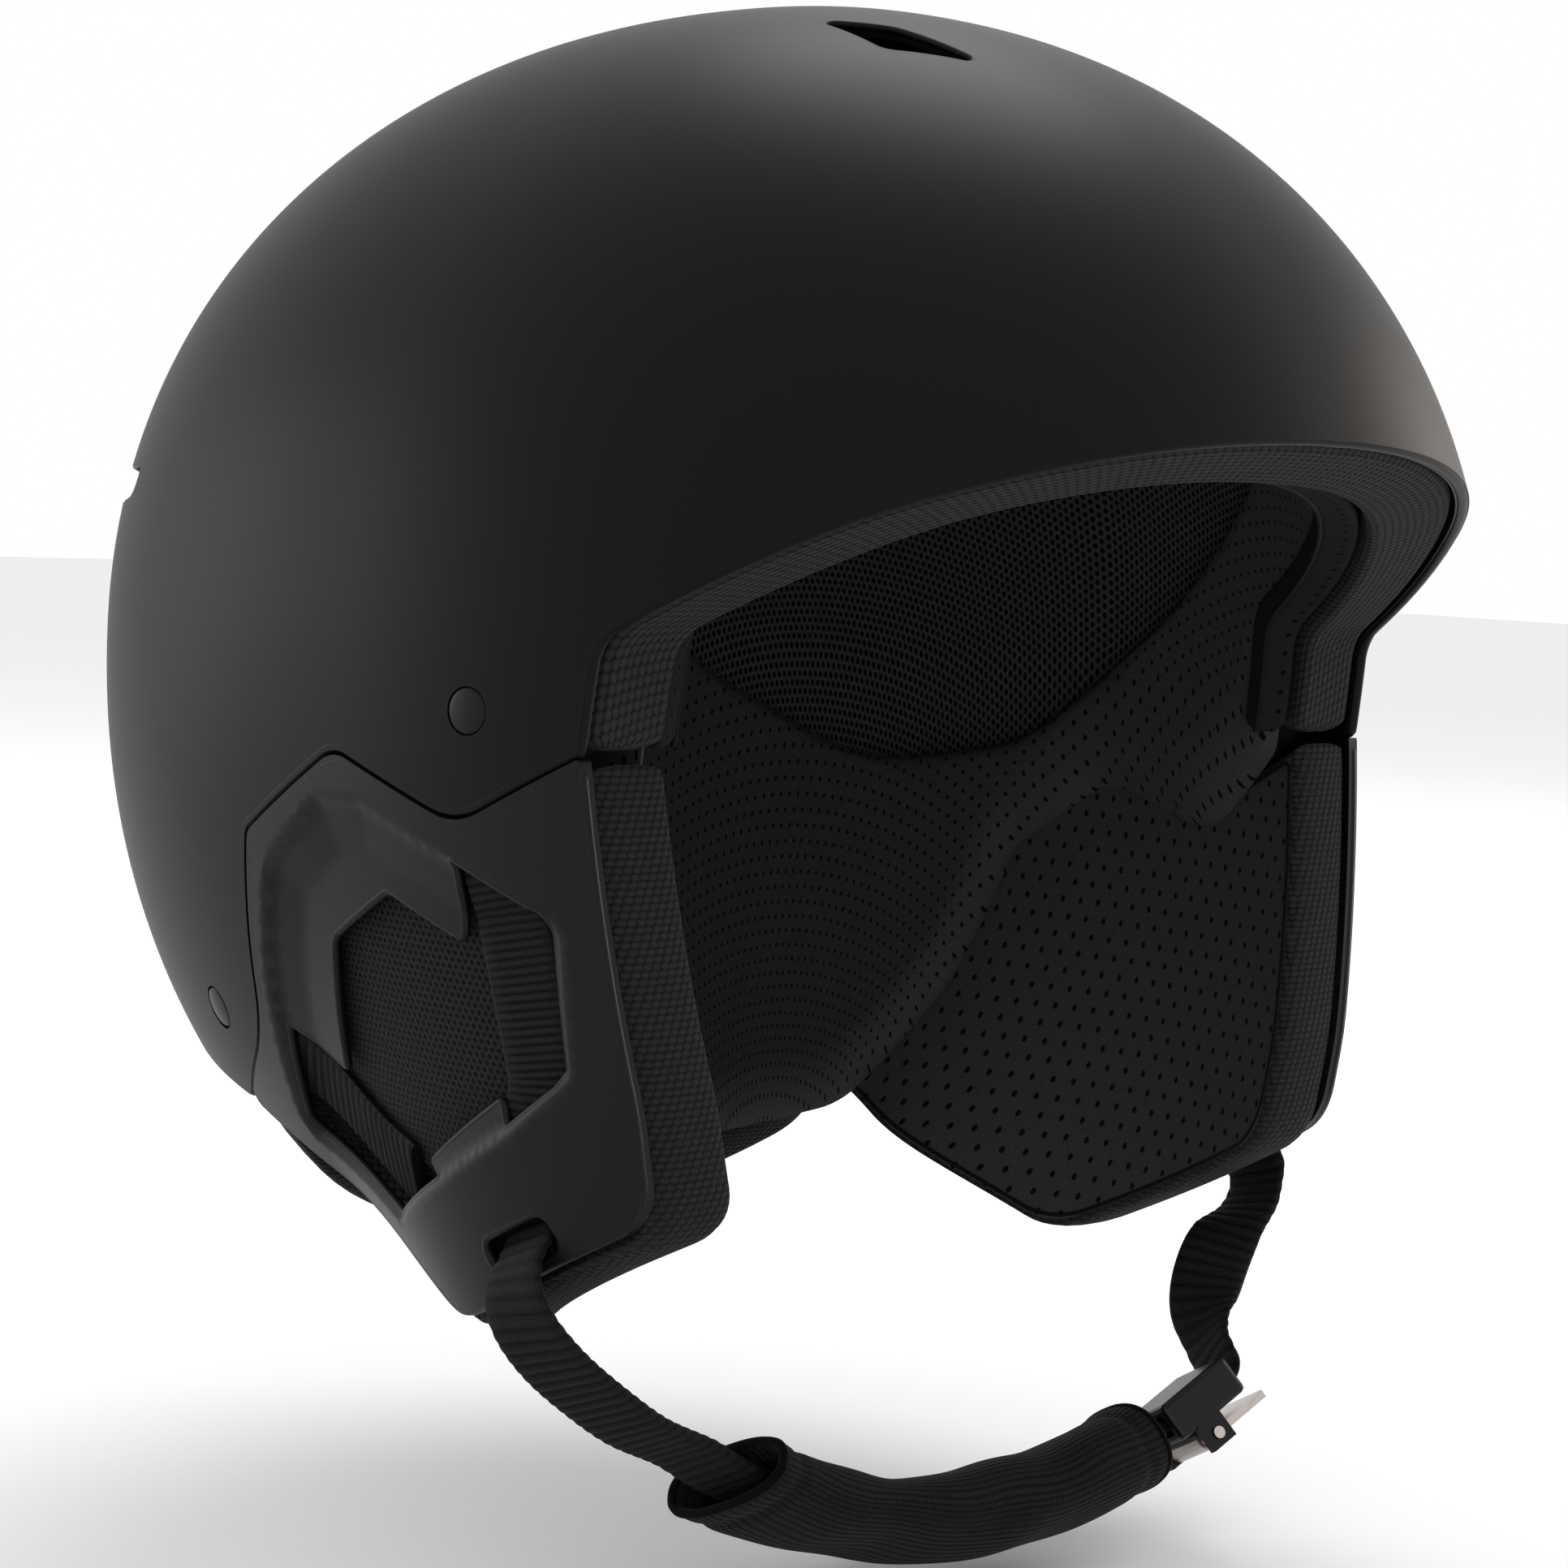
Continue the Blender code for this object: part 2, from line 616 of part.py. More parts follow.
def profile_mesh(name, profile):
    """Open (radius, height) profile in the local XZ plane, for a Screw modifier about Z."""
    mesh = bpy.data.meshes.new(name)
    mesh.from_pydata([(x, 0, z) for x, z in profile], [(i, i + 1) for i in range(len(profile) - 1)], [])
    return mesh


def screw(piece, steps):
    modifier = piece.modifiers.new("turn", "SCREW")
    modifier.steps = steps
    modifier.render_steps = steps
    modifier.use_merge_vertices = True
    modifier.merge_threshold = 0.00001


def turned(name, profile, placement, finish, steps, parent=None):
    piece = add_object(name, profile_mesh(name, profile), finish)
    piece.matrix_world = placement
    if parent is not None:
        piece.parent = parent
        piece.matrix_parent_inverse = parent.matrix_world.inverted()
    screw(piece, steps)
    return piece


def rivet(side, name):
    """Strap anchor: a flush cap on a shank that goes through the web into the foam."""
    cap_under = -RIVET_CAP_DEPTH
    profile = [(0, 0.35 * MM), (RIVET_RADIUS * 0.8, 0.2 * MM), (RIVET_RADIUS, -0.3 * MM),
               (RIVET_RADIUS, cap_under), (RIVET_SHANK, cap_under), (RIVET_SHANK, -RIVET_LENGTH),
               (0, -RIVET_LENGTH)]
    label = f"{name}_rivet_{side_name(side)}"
    turned(label, profile, rivet_frame(side, RIVETS[name]), hard_plastic(), ROUND_STEPS)


def rivet_hole(side, name):
    """Cutter a little larger than the rivet all round."""
    cap = RIVET_RADIUS + RIVET_GAP
    shank = RIVET_SHANK + RIVET_GAP
    cap_end = -RIVET_CAP_DEPTH - RIVET_GAP
    shank_end = -RIVET_LENGTH - RIVET_GAP
    above = 6 * MM
    profile = [(0, above), (cap, above), (cap, cap_end), (shank, cap_end), (shank, shank_end),
               (0, shank_end)]
    mesh = profile_mesh("rivet_hole", profile)
    tool = cutter(f"{name}_hole_{side_name(side)}", mesh, rivet_frame(side, RIVETS[name]))
    screw(tool, ROUND_STEPS)
    return tool


# ---------------------------------------------------------------- chin strap

def arc_axis():
    """Axis of the strap's arc, pointing forwards."""
    return Matrix.Rotation(ARC_YAW, 3, "Z") @ Vector((0, -1, 0))


def arc_frame(angle_deg, radius=ARC_RADIUS):
    """Frame on the arc: X along the strap to the left, Y across it, Z outwards, tilted forwards."""
    angle = math.radians(angle_deg)
    forward = arc_axis()
    along_floor = forward.cross(Vector((0, 0, -1)))
    outward = along_floor * math.sin(angle) - Vector((0, 0, 1)) * math.cos(angle)
    tangent = along_floor * math.cos(angle) + Vector((0, 0, 1)) * math.sin(angle)
    across = forward * math.cos(STRAP_TILT) - outward * math.sin(STRAP_TILT)
    normal = outward * math.cos(STRAP_TILT) + forward * math.sin(STRAP_TILT)
    turn = Matrix((tangent, across, normal)).transposed().to_4x4()
    return Matrix.Translation(ARC_CENTRE + outward * radius) @ turn


def catmull_rom(points, steps):
    """Smooth points through control points."""
    ends = [points[0] * 2 - points[1]] + points + [points[-1] * 2 - points[-2]]
    smooth = []
    for i in range(1, len(ends) - 2):
        a, b, c, d = ends[i - 1], ends[i], ends[i + 1], ends[i + 2]
        for k in range(steps):
            t = k / steps
            smooth.append(0.5 * (2 * b + (c - a) * t + (2 * a - 5 * b + 4 * c - d) * t * t
                                 + (3 * b - a - 3 * c + d) * t ** 3))
    smooth.append(points[-1])
    return smooth


def ribbon(name, stations, width, thickness, finish, parent):
    """Flat web through stations of (point, direction across it)."""
    sheet = bmesh.new()
    rows = []
    for i, (point, across) in enumerate(stations):
        before = stations[max(0, i - 1)][0]
        after = stations[min(len(stations) - 1, i + 1)][0]
        tangent = (after - before).normalized()
        side = (across - tangent * across.dot(tangent)).normalized() * (width / 2)
        rows.append((sheet.verts.new(point - side), sheet.verts.new(point + side)))
    for (a, b), (c, d) in zip(rows, rows[1:]):
        sheet.faces.new((a, b, d, c))
    mesh = bpy.data.meshes.new(name)
    sheet.to_mesh(mesh)
    sheet.free()
    piece = add_object(name, mesh, finish, parent)
    solidify(piece, thickness, 0.0)
    return piece


def arc_stations(start, end, step=3.0):
    count = max(2, math.ceil((end - start) / step))
    frames = [arc_frame(start + (end - start) * k / count) for k in range(count + 1)]
    return [(f.translation.copy(), f.col[1].to_3d()) for f in frames]


def free_stations(points_mm, end_frame, twists=()):
    """Stations along the hand-laid part of a strap: its width turns from the slot's to the arc's."""
    control = [Vector(p) * MM for p in points_mm] + [end_frame.translation.copy()]
    widths = [SLOT_WIDTH_AXIS, *twists, end_frame.col[1].to_3d()]
    smooth = catmull_rom(control, 2)
    free = len(smooth) - 1 - SLOT_STATIONS - MOUTH_STATIONS
    stations = []
    for i, point in enumerate(smooth):
        place = min(1.0, max(0.0, (i - SLOT_STATIONS) / free)) * (len(widths) - 1)
        span = min(int(place), len(widths) - 2)
        t = place - span
        across = widths[span].lerp(widths[span + 1], t * t * (3 - 2 * t))
        stations.append((point, across.normalized()))
    return stations


def chin_strap_right(parent):
    start, end = RIGHT_ARC
    stations = free_stations(RIGHT_WEB, arc_frame(start))[:-1] + arc_stations(start, end)
    ribbon("chin_strap_right", stations, CHIN_WEB_WIDTH, CHIN_WEB_THICK, webbing(), parent)


def chin_strap_left(parent):
    mouth = arc_frame(BUCKLE_ANGLE)
    end = mouth @ Matrix.Translation(Vector((WEB_ANCHOR[0], 0, WEB_ANCHOR[1])) * MM)
    near = mouth @ Matrix.Translation(Vector((WEB_APPROACH[0], 0, WEB_APPROACH[1])) * MM)
    points = LEFT_WEB + [tuple(near.translation / MM)]
    stations = free_stations(points, end, [LEFT_TWIST_AXIS])
    ribbon("chin_strap_left", stations, CHIN_WEB_WIDTH, CHIN_WEB_THICK, webbing(), parent)


def arc_profile_piece(name, profile, arc, steps, finish, parent):
    """Sweeps a closed profile of (across, outwards) along the strap's arc with a Screw modifier."""
    start, end = arc
    forward = arc_axis()
    first = arc_frame(start)
    origin = Matrix.Translation(ARC_CENTRE)
    radial = (first.translation - ARC_CENTRE).normalized()
    side = forward.cross(radial)
    placement = origin @ Matrix((radial, side, forward)).transposed().to_4x4()
    local = placement.inverted()
    points = []
    for across, outwards in profile:
        points.append(local @ (first @ Vector((0, across, outwards))))
    mesh = bpy.data.meshes.new(name)
    count = len(points)
    mesh.from_pydata([(p.x, 0, p.z) for p in points], [(i, (i + 1) % count) for i in range(count)], [])
    piece = add_object(name, mesh, finish)
    piece.matrix_world = placement
    piece.parent = parent
    piece.matrix_parent_inverse = parent.matrix_world.inverted()
    modifier = piece.modifiers.new("arc", "SCREW")
    modifier.angle = math.radians(end - start)
    modifier.steps = steps
    modifier.render_steps = steps
    modifier.merge_threshold = 0.00001
    modifier.use_normal_calculate = True
    return piece


def chin_pad(parent):
    """Padded sleeve: an oval tube, open at both ends."""
    profile = []
    for k in range(PAD_SIDES):
        angle = -2 * math.pi * k / PAD_SIDES
        across = PAD_WIDTH / 2 * signed_power(math.cos(angle), PAD_SQUARENESS)
        outwards = PAD_THICK / 2 * signed_power(math.sin(angle), PAD_SQUARENESS)
        profile.append((across, outwards))
    piece = arc_profile_piece("chin_pad", profile, PAD_ARC, PAD_STEPS, knit(), parent)
    solidify(piece, PAD_WALL, -1.0)


def tongue_web(parent):
    stations = arc_stations(*TONGUE_WEB_ARC)
    ribbon("tongue_web", stations, CHIN_WEB_WIDTH, CHIN_WEB_THICK, webbing(), parent)


def buckle_tongue(parent):
    """Toothed tongue: a thin bar bent to the arc, with ratchet teeth on its outer face."""
    start, end = TONGUE_ARC
    sheet = bmesh.new()
    count = round((end - start) / TOOTH_PITCH_DEG)
    half = TONGUE_WIDTH / 2
    under = -TONGUE_THICK / 2
    columns = []
    for k in range(2 * count + 1):
        frame = arc_frame(start + (end - start) * k / (2 * count))
        toothed = k % 2 and TONGUE_PLAIN_STEPS < k < 2 * count - 2
        top = TONGUE_THICK / 2 + (TOOTH_HEIGHT if toothed else 0.0)
        taper = 1.0 if k < 2 * count - 3 else 0.78 + 0.07 * (2 * count - k)
        corners = [(-half * taper, under), (half * taper, under), (half * taper, top), (-half * taper, top)]
        columns.append([sheet.verts.new(frame @ Vector((0, y, z))) for y, z in corners])
    for first, second in zip(columns, columns[1:]):
        for i in range(4):
            j = (i + 1) % 4
            sheet.faces.new((first[i], first[j], second[j], second[i]))
    sheet.faces.new(columns[0])
    sheet.faces.new(columns[-1])
    bmesh.ops.recalc_face_normals(sheet, faces=sheet.faces)
    mesh = bpy.data.meshes.new("buckle_tongue")
    sheet.to_mesh(mesh)
    sheet.free()
    add_object("buckle_tongue", mesh, buckle_plastic(), parent)


# ---------------------------------------------------------------- buckle

def box_mesh(name, low, high):
    """Box between two corners given in millimetres."""
    solid = bmesh.new()
    bmesh.ops.create_cube(solid, size=1.0)
    for vertex in solid.verts:
        for axis in range(3):
            vertex.co[axis] = (high[axis] if vertex.co[axis] > 0 else low[axis]) * MM
    mesh = bpy.data.meshes.new(name)
    solid.to_mesh(mesh)
    solid.free()
    return mesh


def cross_cylinder(name, radius, low, high):
    """Cylinder along the buckle's width about the lever's pivot, in millimetres."""
    solid = bmesh.new()
    turn = Matrix.Rotation(math.radians(90), 4, "X")
    centre = Vector((LEVER_PIVOT[0], (low + high) / 2, LEVER_PIVOT[1])) * MM
    placement = Matrix.Translation(centre) @ turn
    bmesh.ops.create_cone(solid, cap_ends=True, segments=ROUND_STEPS, radius1=radius * MM,
                          radius2=radius * MM, depth=(high - low) * MM, matrix=placement)
    mesh = bpy.data.meshes.new(name)
    solid.to_mesh(mesh)
    solid.free()
    return mesh


def buckle_piece(name, mesh, finish, parent):
    piece = add_object(name, mesh, finish)
    piece.matrix_world = arc_frame(BUCKLE_ANGLE)
    piece.parent = parent
    piece.matrix_parent_inverse = parent.matrix_world.inverted()
    return piece


def buckle_tool(name, mesh):
    return cutter(name, mesh, arc_frame(BUCKLE_ANGLE))


def bevel(piece, width):
    modifier = piece.modifiers.new("edge", "BEVEL")
    modifier.width = width * MM
    modifier.segments = 2
    modifier.limit_method = "ANGLE"
    modifier.angle_limit = math.radians(50)


def buckle_base(parent):
    """Channel for the tongue with a window for the pawl and two cheeks for the lever's pin."""
    length, width, height = BASE_SIZE
    half = (length / 2, width / 2, height / 2)
    piece = buckle_piece("buckle_base", box_mesh("base", [-h for h in half], half), buckle_plastic(), parent)
    bevel(piece, 1.0)
    for side in (-1, 1):
        inner, outer = sorted((side * CHEEK_INNER, side * (half[1] - CHEEK_INSET)))
        low = (LEVER_PIVOT[0] - CHEEK_REACH, inner, half[2] - CHEEK_SINK)
        high = (LEVER_PIVOT[0] + CHEEK_REACH, outer, LEVER_PIVOT[1] + CHEEK_RISE)
        cut(piece, buckle_tool(f"cheek_{side}", box_mesh("cheek", low, high)), "UNION")
    cavity_low = (-length, -CAVITY[0] / 2, -CAVITY[1] / 2)
    cavity_high = (length, CAVITY[0] / 2, CAVITY[1] / 2)
    cut(piece, buckle_tool("channel", box_mesh("channel", cavity_low, cavity_high)))
    window_start, window_end, window_half = PAWL_WINDOW
    window_low = (LEVER_PIVOT[0] + window_start, -window_half, 0)
    window_high = (LEVER_PIVOT[0] + window_end, window_half, height)
    cut(piece, buckle_tool("pawl_window", box_mesh("window", window_low, window_high)))
    bore = cross_cylinder("bore", PIN_RADIUS + PIN_GAP, -BORE_REACH, BORE_REACH)
    cut(piece, buckle_tool("pin_bore", bore))


def buckle_pin(parent):
    reach = BASE_SIZE[1] / 2 + PIN_OVERHANG
    buckle_piece("lever_pin", cross_cylinder("pin", PIN_RADIUS, -reach, reach), steel(), parent)


def buckle_lever(parent):
    """Metal lever: a hub on the pin, a finger plate over the channel and a pawl through the window."""
    x, z = LEVER_PIVOT
    under = z - PLATE_SINK
    top = z + PLATE_RISE
    hub = cross_cylinder("hub", HUB_RADIUS, HUB_RIGHT, HUB_LEFT)
    piece = buckle_piece("buckle_lever", hub, steel(), parent)
    plate_low = (x + PLATE_START, -PLATE_HALF_WIDTH, under)
    plate = box_mesh("plate", plate_low, (LEVER_TIP, PLATE_HALF_WIDTH, top))
    arm = box_mesh("arm", (x, HUB_RIGHT, under), (x + ARM_REACH, HUB_LEFT, top))
    pawl_low = (x + PAWL_SPAN[0], -PAWL_HALF_WIDTH, PAWL_TIP)
    pawl = box_mesh("pawl", pawl_low, (x + PAWL_SPAN[1], PAWL_HALF_WIDTH, z))
    for label, mesh in (("plate", plate), ("arm", arm), ("pawl", pawl)):
        cut(piece, buckle_tool("lever_" + label, mesh), "UNION")
    bore = cross_cylinder("lever_bore", PIN_RADIUS + PIN_GAP, -BORE_REACH, BORE_REACH)
    cut(piece, buckle_tool("lever_bore", bore))


def lever_spring(parent):
    """Torsion spring on the pin, beside the lever's hub."""
    start, end = SPRING_SPAN
    curve = bpy.data.curves.new("lever_spring", "CURVE")
    curve.dimensions = "3D"
    curve.bevel_depth = SPRING_WIRE * MM
    curve.bevel_resolution = 1
    curve.use_fill_caps = True
    count = SPRING_TURNS * 8 + 1
    spline = curve.splines.new("POLY")
    spline.points.add(count - 1)
    for k, slot in enumerate(spline.points):
        angle = 2 * math.pi * k / 8
        x = LEVER_PIVOT[0] + SPRING_COIL * math.cos(angle)
        z = LEVER_PIVOT[1] + SPRING_COIL * math.sin(angle)
        slot.co = (x * MM, (start + (end - start) * k / (count - 1)) * MM, z * MM, 1.0)
    piece = bpy.data.objects.new("lever_spring", curve)
    collection(COLLECTION).objects.link(piece)
    curve.materials.append(steel())
    piece.matrix_world = arc_frame(BUCKLE_ANGLE)
    piece.parent = parent
    piece.matrix_parent_inverse = parent.matrix_world.inverted()


# ---------------------------------------------------------------- goggle-strap keeper

def keeper_station(z, stand_off):
    """Point on the back's centre line at a height, standing off the shell."""
    y = BACK_REACH * (1 - abs(z / NAPE_DROP) ** HEIGHT_POWER) ** (1 / HEIGHT_POWER)
    return Vector((0, y + stand_off, z))


def keeper_base():
    """Moulded hinge block on the shell above the loop."""
    y, z = KEEPER_HINGE
    half, under, over, start, end = KEEPER_BLOCK
    low = (-half, y / MM + under, z / MM + start)
    high = (half, y / MM + over, z / MM + end)
    piece = add_object("goggle_keeper_base", box_mesh("keeper_base", low, high), buckle_plastic())
    bevel(piece, 1.2)


def keeper_loop(parent):
    """Elastic loop that closes over a goggle strap: hinged at the top, with a snap at the bottom."""
    y, z = KEEPER_HINGE
    stations = [(Vector((0, y, z + KEEPER_HEM)), Vector((1, 0, 0)))]
    for drop, stand_off in KEEPER_BULGE:
        stations.append((keeper_station(z - drop * MM, stand_off * MM), Vector((1, 0, 0))))
    ribbon("goggle_keeper_loop", stations, KEEPER_WIDTH, KEEPER_THICK, webbing(), parent)


def snap_frame(stand_off):
    height = KEEPER_HINGE[1] - SNAP_DROP
    point = keeper_station(height, stand_off)
    below = keeper_station(height - 2 * MM, stand_off)
    above = keeper_station(height + 2 * MM, stand_off)
    normal = (below - above).cross(Vector((1, 0, 0))).normalized()
    if normal.y < 0:
        normal.negate()
    turn = Vector((0, 0, 1)).rotation_difference(normal)
    return Matrix.Translation(point) @ turn.to_matrix().to_4x4()


def keeper_snap(parent):
    """Snap: a stud on the shell and a cap on the loop."""
    stud = [(radius * MM, up * MM) for radius, up in STUD_PROFILE]
    turned("keeper_snap_stud", stud, snap_frame(0.0), buckle_plastic(), ROUND_STEPS)
    cap = [(radius * MM, up * MM) for radius, up in CAP_PROFILE]
    placement = snap_frame(SNAP_CAP_STAND_OFF)
    turned("keeper_snap_cap", cap, placement, buckle_plastic(), ROUND_STEPS, parent)


# ---------------------------------------------------------------- assembly

def build():
    clear_scene()
    holes = {(side, name): rivet_hole(side, name) for side in (-1, 1) for name in RIVETS}
    all_holes = list(holes.values())
    outer_shell(vent_cutters(0), all_holes)
    foam_liner(vent_cutters(-1), all_holes)
    brow_trim()
    brow_pad()
    comfort_liner()
    nape_pad()
    crown_mesh()
    crown_pad()
    for side in (-1, 1):
        for number, place in enumerate(LINER_DOTS):
            liner_dot(side, number + 1, place)
        ear_cover(side)
        ear_mesh(side)
        ear_pad(side)
        side_web(side, "front", FRONT_WEB, [holes[side, "front"]])
        side_web(side, "rear", REAR_WEB, [holes[side, "rear"]])
        for name in RIVETS:
            rivet(side, name)

    swing = axis_empty("chin_strap_axis", Vector((0, SLOT[0], SLOT[1])), (1, 0, 0))
    sliding = axis_empty("strap_arc_axis", ARC_CENTRE, arc_axis())
    pivot = arc_frame(BUCKLE_ANGLE) @ Vector((LEVER_PIVOT[0] * MM, 0, LEVER_PIVOT[1] * MM))
    lever_axis = axis_empty("buckle_lever_axis", pivot, arc_frame(BUCKLE_ANGLE).col[1].to_3d())
    keeper_axis = axis_empty("goggle_keeper_axis", Vector((0, *KEEPER_HINGE)), (1, 0, 0))

    chin_strap_right(swing)
    chin_strap_left(swing)
    buckle_base(swing)
    buckle_pin(swing)
    lever_spring(swing)
    chin_pad(sliding)
    tongue_web(sliding)
    buckle_tongue(sliding)
    buckle_lever(lever_axis)
    keeper_base()
    keeper_loop(keeper_axis)
    keeper_snap(keeper_axis)


build()
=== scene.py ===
"""Looks of the ski helmet: finer shells, knit and perforated fabric, ribbed webbing, light and camera.

Everything is in metres in the CAD's frame. Each layer of the helmet is a patch of one dome surface at
some depth, cut to an outline that is given in the side view, seen from above or from behind.
"""

import math
from functools import partial

import bmesh
import bpy
import numpy as np
from mathutils import Matrix, Vector
from mathutils.geometry import delaunay_2d_cdt
from mathutils.kdtree import KDTree


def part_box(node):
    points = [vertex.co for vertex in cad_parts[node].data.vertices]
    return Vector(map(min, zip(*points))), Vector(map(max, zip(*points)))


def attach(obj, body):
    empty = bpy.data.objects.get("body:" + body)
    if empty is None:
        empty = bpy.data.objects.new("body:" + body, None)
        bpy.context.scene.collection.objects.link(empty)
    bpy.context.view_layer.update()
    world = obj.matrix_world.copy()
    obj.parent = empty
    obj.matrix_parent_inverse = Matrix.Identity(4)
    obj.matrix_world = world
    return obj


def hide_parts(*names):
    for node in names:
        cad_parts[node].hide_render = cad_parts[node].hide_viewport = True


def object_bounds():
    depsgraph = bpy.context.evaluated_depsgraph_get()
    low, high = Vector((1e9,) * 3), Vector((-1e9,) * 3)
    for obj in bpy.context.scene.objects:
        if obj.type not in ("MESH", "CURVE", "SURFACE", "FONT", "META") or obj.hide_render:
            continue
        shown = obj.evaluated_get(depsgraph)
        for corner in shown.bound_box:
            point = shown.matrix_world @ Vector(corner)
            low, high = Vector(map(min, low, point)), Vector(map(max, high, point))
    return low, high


MM = 0.001
SIDES = {-1: "right", 1: "left"}

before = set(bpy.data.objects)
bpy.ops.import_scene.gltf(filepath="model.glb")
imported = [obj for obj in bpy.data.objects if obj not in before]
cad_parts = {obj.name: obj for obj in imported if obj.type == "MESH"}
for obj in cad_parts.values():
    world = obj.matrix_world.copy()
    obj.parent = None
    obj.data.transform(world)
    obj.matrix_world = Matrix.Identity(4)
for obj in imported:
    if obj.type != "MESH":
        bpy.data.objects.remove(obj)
cad_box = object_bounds()
shell_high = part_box("outer_shell")[1]

# The dome's half axes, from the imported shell, and the numbers that shape it.
HALF_WIDTH = shell_high.x
BACK_REACH = shell_high.y
CROWN_HEIGHT = shell_high.z
FRONT_REACH = 129.9 * MM
NAPE_DROP = 137.1 * MM
FLAP_DROP = 205.0 * MM
FLAP_BLEND_BACK = 30.0 * MM
FLAP_BLEND_LENGTH = 80.0 * MM
PLAN_POWER = 2.19
HEIGHT_POWER = 2.11
DISC = 120.0 * MM

# Side outlines as corners (y, z, corner radius) in millimetres, anticlockwise seen from +X.
RIM = [(-140, 53.8, 0), (-90, 29.3, 150), (-56.5, 8.8, 9), (-54.3, -9.8, 0.5)]
SEAM = [(-30.4, -22.8, 12), (-1, -12.6, 8), (26, -29, 4), (34, -66, 25), (53.5, -82.3, 2)]
HEM = [(80, -78.5, 30), (165, -67, 0), (165, 135, 0), (-140, 135, 0)]
FLAP_FRONT = [(-54.3, -9.8, 0.5), (-61.4, -68, 60), (-61.2, -85.5, 11), (-14, -111, 13)]
PAD_FRONT = [(-54.3, -10.6, 1.5), (-61.4, -68, 60), (-61.4, -88.5, 12), (-12, -114.5, 14)]
PAD_REAR = [(50, -87, 4), (32.5, -66, 25), (25, -30, 4), (-1, -13.4, 8), (-30.4, -23.6, 12)]
LINER = [(-134, 61, 0), (-86, 36.5, 60), (-49.2, 13, 9), (-47, -13, 5), (-30, -31, 12), (-1, -23, 10),
         (20, -38, 8), (26, -66, 20), (36, -91, 8), (58, -100, 15), (95, -106, 20), (165, -100, 0),
         (165, 135, 0), (-134, 135, 0)]
LINER_EDGE = 3.0 * MM
LINER_TAPER = 13.0 * MM
NAPE = [(53.5, -83.6, 1), (80, -79.6, 30), (165, -68, 0), (165, -112, 0), (77, -113.5, 25),
        (62, -109, 12), (53, -98, 8)]
CROWN_OPENING = [(-62, 52, 20), (-20, 13, 60), (20, -17, 40), (60, -24, 40), (100, -3, 40),
                 (118, 50, 30), (118, 135, 0), (-62, 135, 0)]
WINDOW = [(-10.5, -35.5, 3), (6.5, -45.5, 4), (11.5, -69.5, 0.5), (26.8, -63.5, 0.5), (32, -83.5, 3),
          (2, -94.6, 1.5), (-18, -84, 0.5), (-14.8, -81.6, 0.5), (-34.5, -68.2, 0.5), (-36, -73, 0.5),
          (-47.4, -64.6, 1), (-50, -61, 2), (-48.2, -35.5, 3), (-44, -34.3, 0.5), (-28.7, -28, 0.5),
          (-28.3, -42, 1)]
RECESS = [(-7.4, -20.6, 4), (-28.8, -28, 2), (-50.6, -37, 4), (-51.3, -62.5, 3), (-36.5, -74.5, 3),
          (-18, -85.5, 3), (2, -96, 3), (33.4, -85, 5), (26.6, -52, 12), (21, -34, 6), (4.7, -21.2, 4)]
EAR_MESH = [(-42, -32, 4), (-5, -28, 6), (16, -42, 6), (22, -74, 6), (-12, -87, 4), (-46, -70, 4)]
TOP_VENT = [(33.5, -27.5, 2), (36.8, -49.5, 5), (23.5, -64, 2), (25.5, -42, 8)]
REAR_VENT = [(60, 22, 3), (92, 27, 3), (92, 34, 3), (60, 32, 3)]

# Depths under the outer surface, each pair from its outer to its inner face.
SHELL_THICK = 2.5 * MM
TRIM_DEPTH = (3.0 * MM, 18.3 * MM)
TRIM_BAND = 8.0 * MM
BROW_DEPTH = (19.4 * MM, 26.2 * MM)
BROW_INSET = 2.6
BROW_SLANT = 0.5
BROW_REACH = 5.0 * MM
BAND_END = -9.3
LINER_DEPTH = (18.9 * MM, 25.6 * MM)
PAD_DEPTH = (3.0 * MM, 18.5 * MM)
NAPE_DEPTH = (3.6 * MM, 17.8 * MM)
MESH_DEPTH = (20.6 * MM, 21.4 * MM)
EAR_MESH_DEPTH = (6.0 * MM, 6.6 * MM)
RECESS_LIP = 2.2 * MM
RECESS_LIP_DEPTH = 1.4 * MM
RECESS_RAMP = 7.0 * MM
RECESS_SLOPE_DEPTH = 1.6 * MM
LIP_RADIUS = 1.25 * MM
PILLOW_RIMS = (0.04 * MM, 0.18 * MM, 0.5 * MM, 1.1 * MM, 2.0 * MM)

COVER_LEAST = 1.1 * MM

# How far outlines are moved inwards, in millimetres; steps between their points; mesh counts.
SHELL_INSET = 0.5
COVER_INSET = 0.25
LIP_INSET = 1.25
TRIM_INSET = 0.6
PIPING_INSET = 2.5
FINE_STEP = 0.8 * MM
EDGE_STEP = 1.0 * MM
PAD_STEP = 1.2 * MM
BAND_STATIONS = 240
NAPE_COLUMNS = 160
NAPE_SIDES = 32

# Webbing.
WEB_WIDTH = 15.0 * MM
WEB_THICK = 1.9 * MM
WEB_DEPTH = 3.7 * MM
WEB_SAG = 1.0 * MM
RIBBON_SPOTS = (-1, -0.965, -0.88, -0.6, -0.2, 0.2, 0.6, 0.88, 0.965, 1)
FRONT_WEB = [(-32.8, 3), (-33.5, -14), (-36.4, -31), (-40.2, -52), (-42.2, -69), (-40.5, -83)]
REAR_WEB = [(56, -61.5), (41, -66.5), (26, -73), (8, -83), (-4, -87.5)]
FRONT_RIB = 1.45 * MM
REAR_RIB = 2.1 * MM
CHIN_RIB = 2.6 * MM
RIVETS = {"front": (-32.6, -4.1), "rear": (51.5, -64.5)}
RIVET_RADIUS = 3.9 * MM
RIVET_GAP = 0.12 * MM
RIVET_SIDES = 40
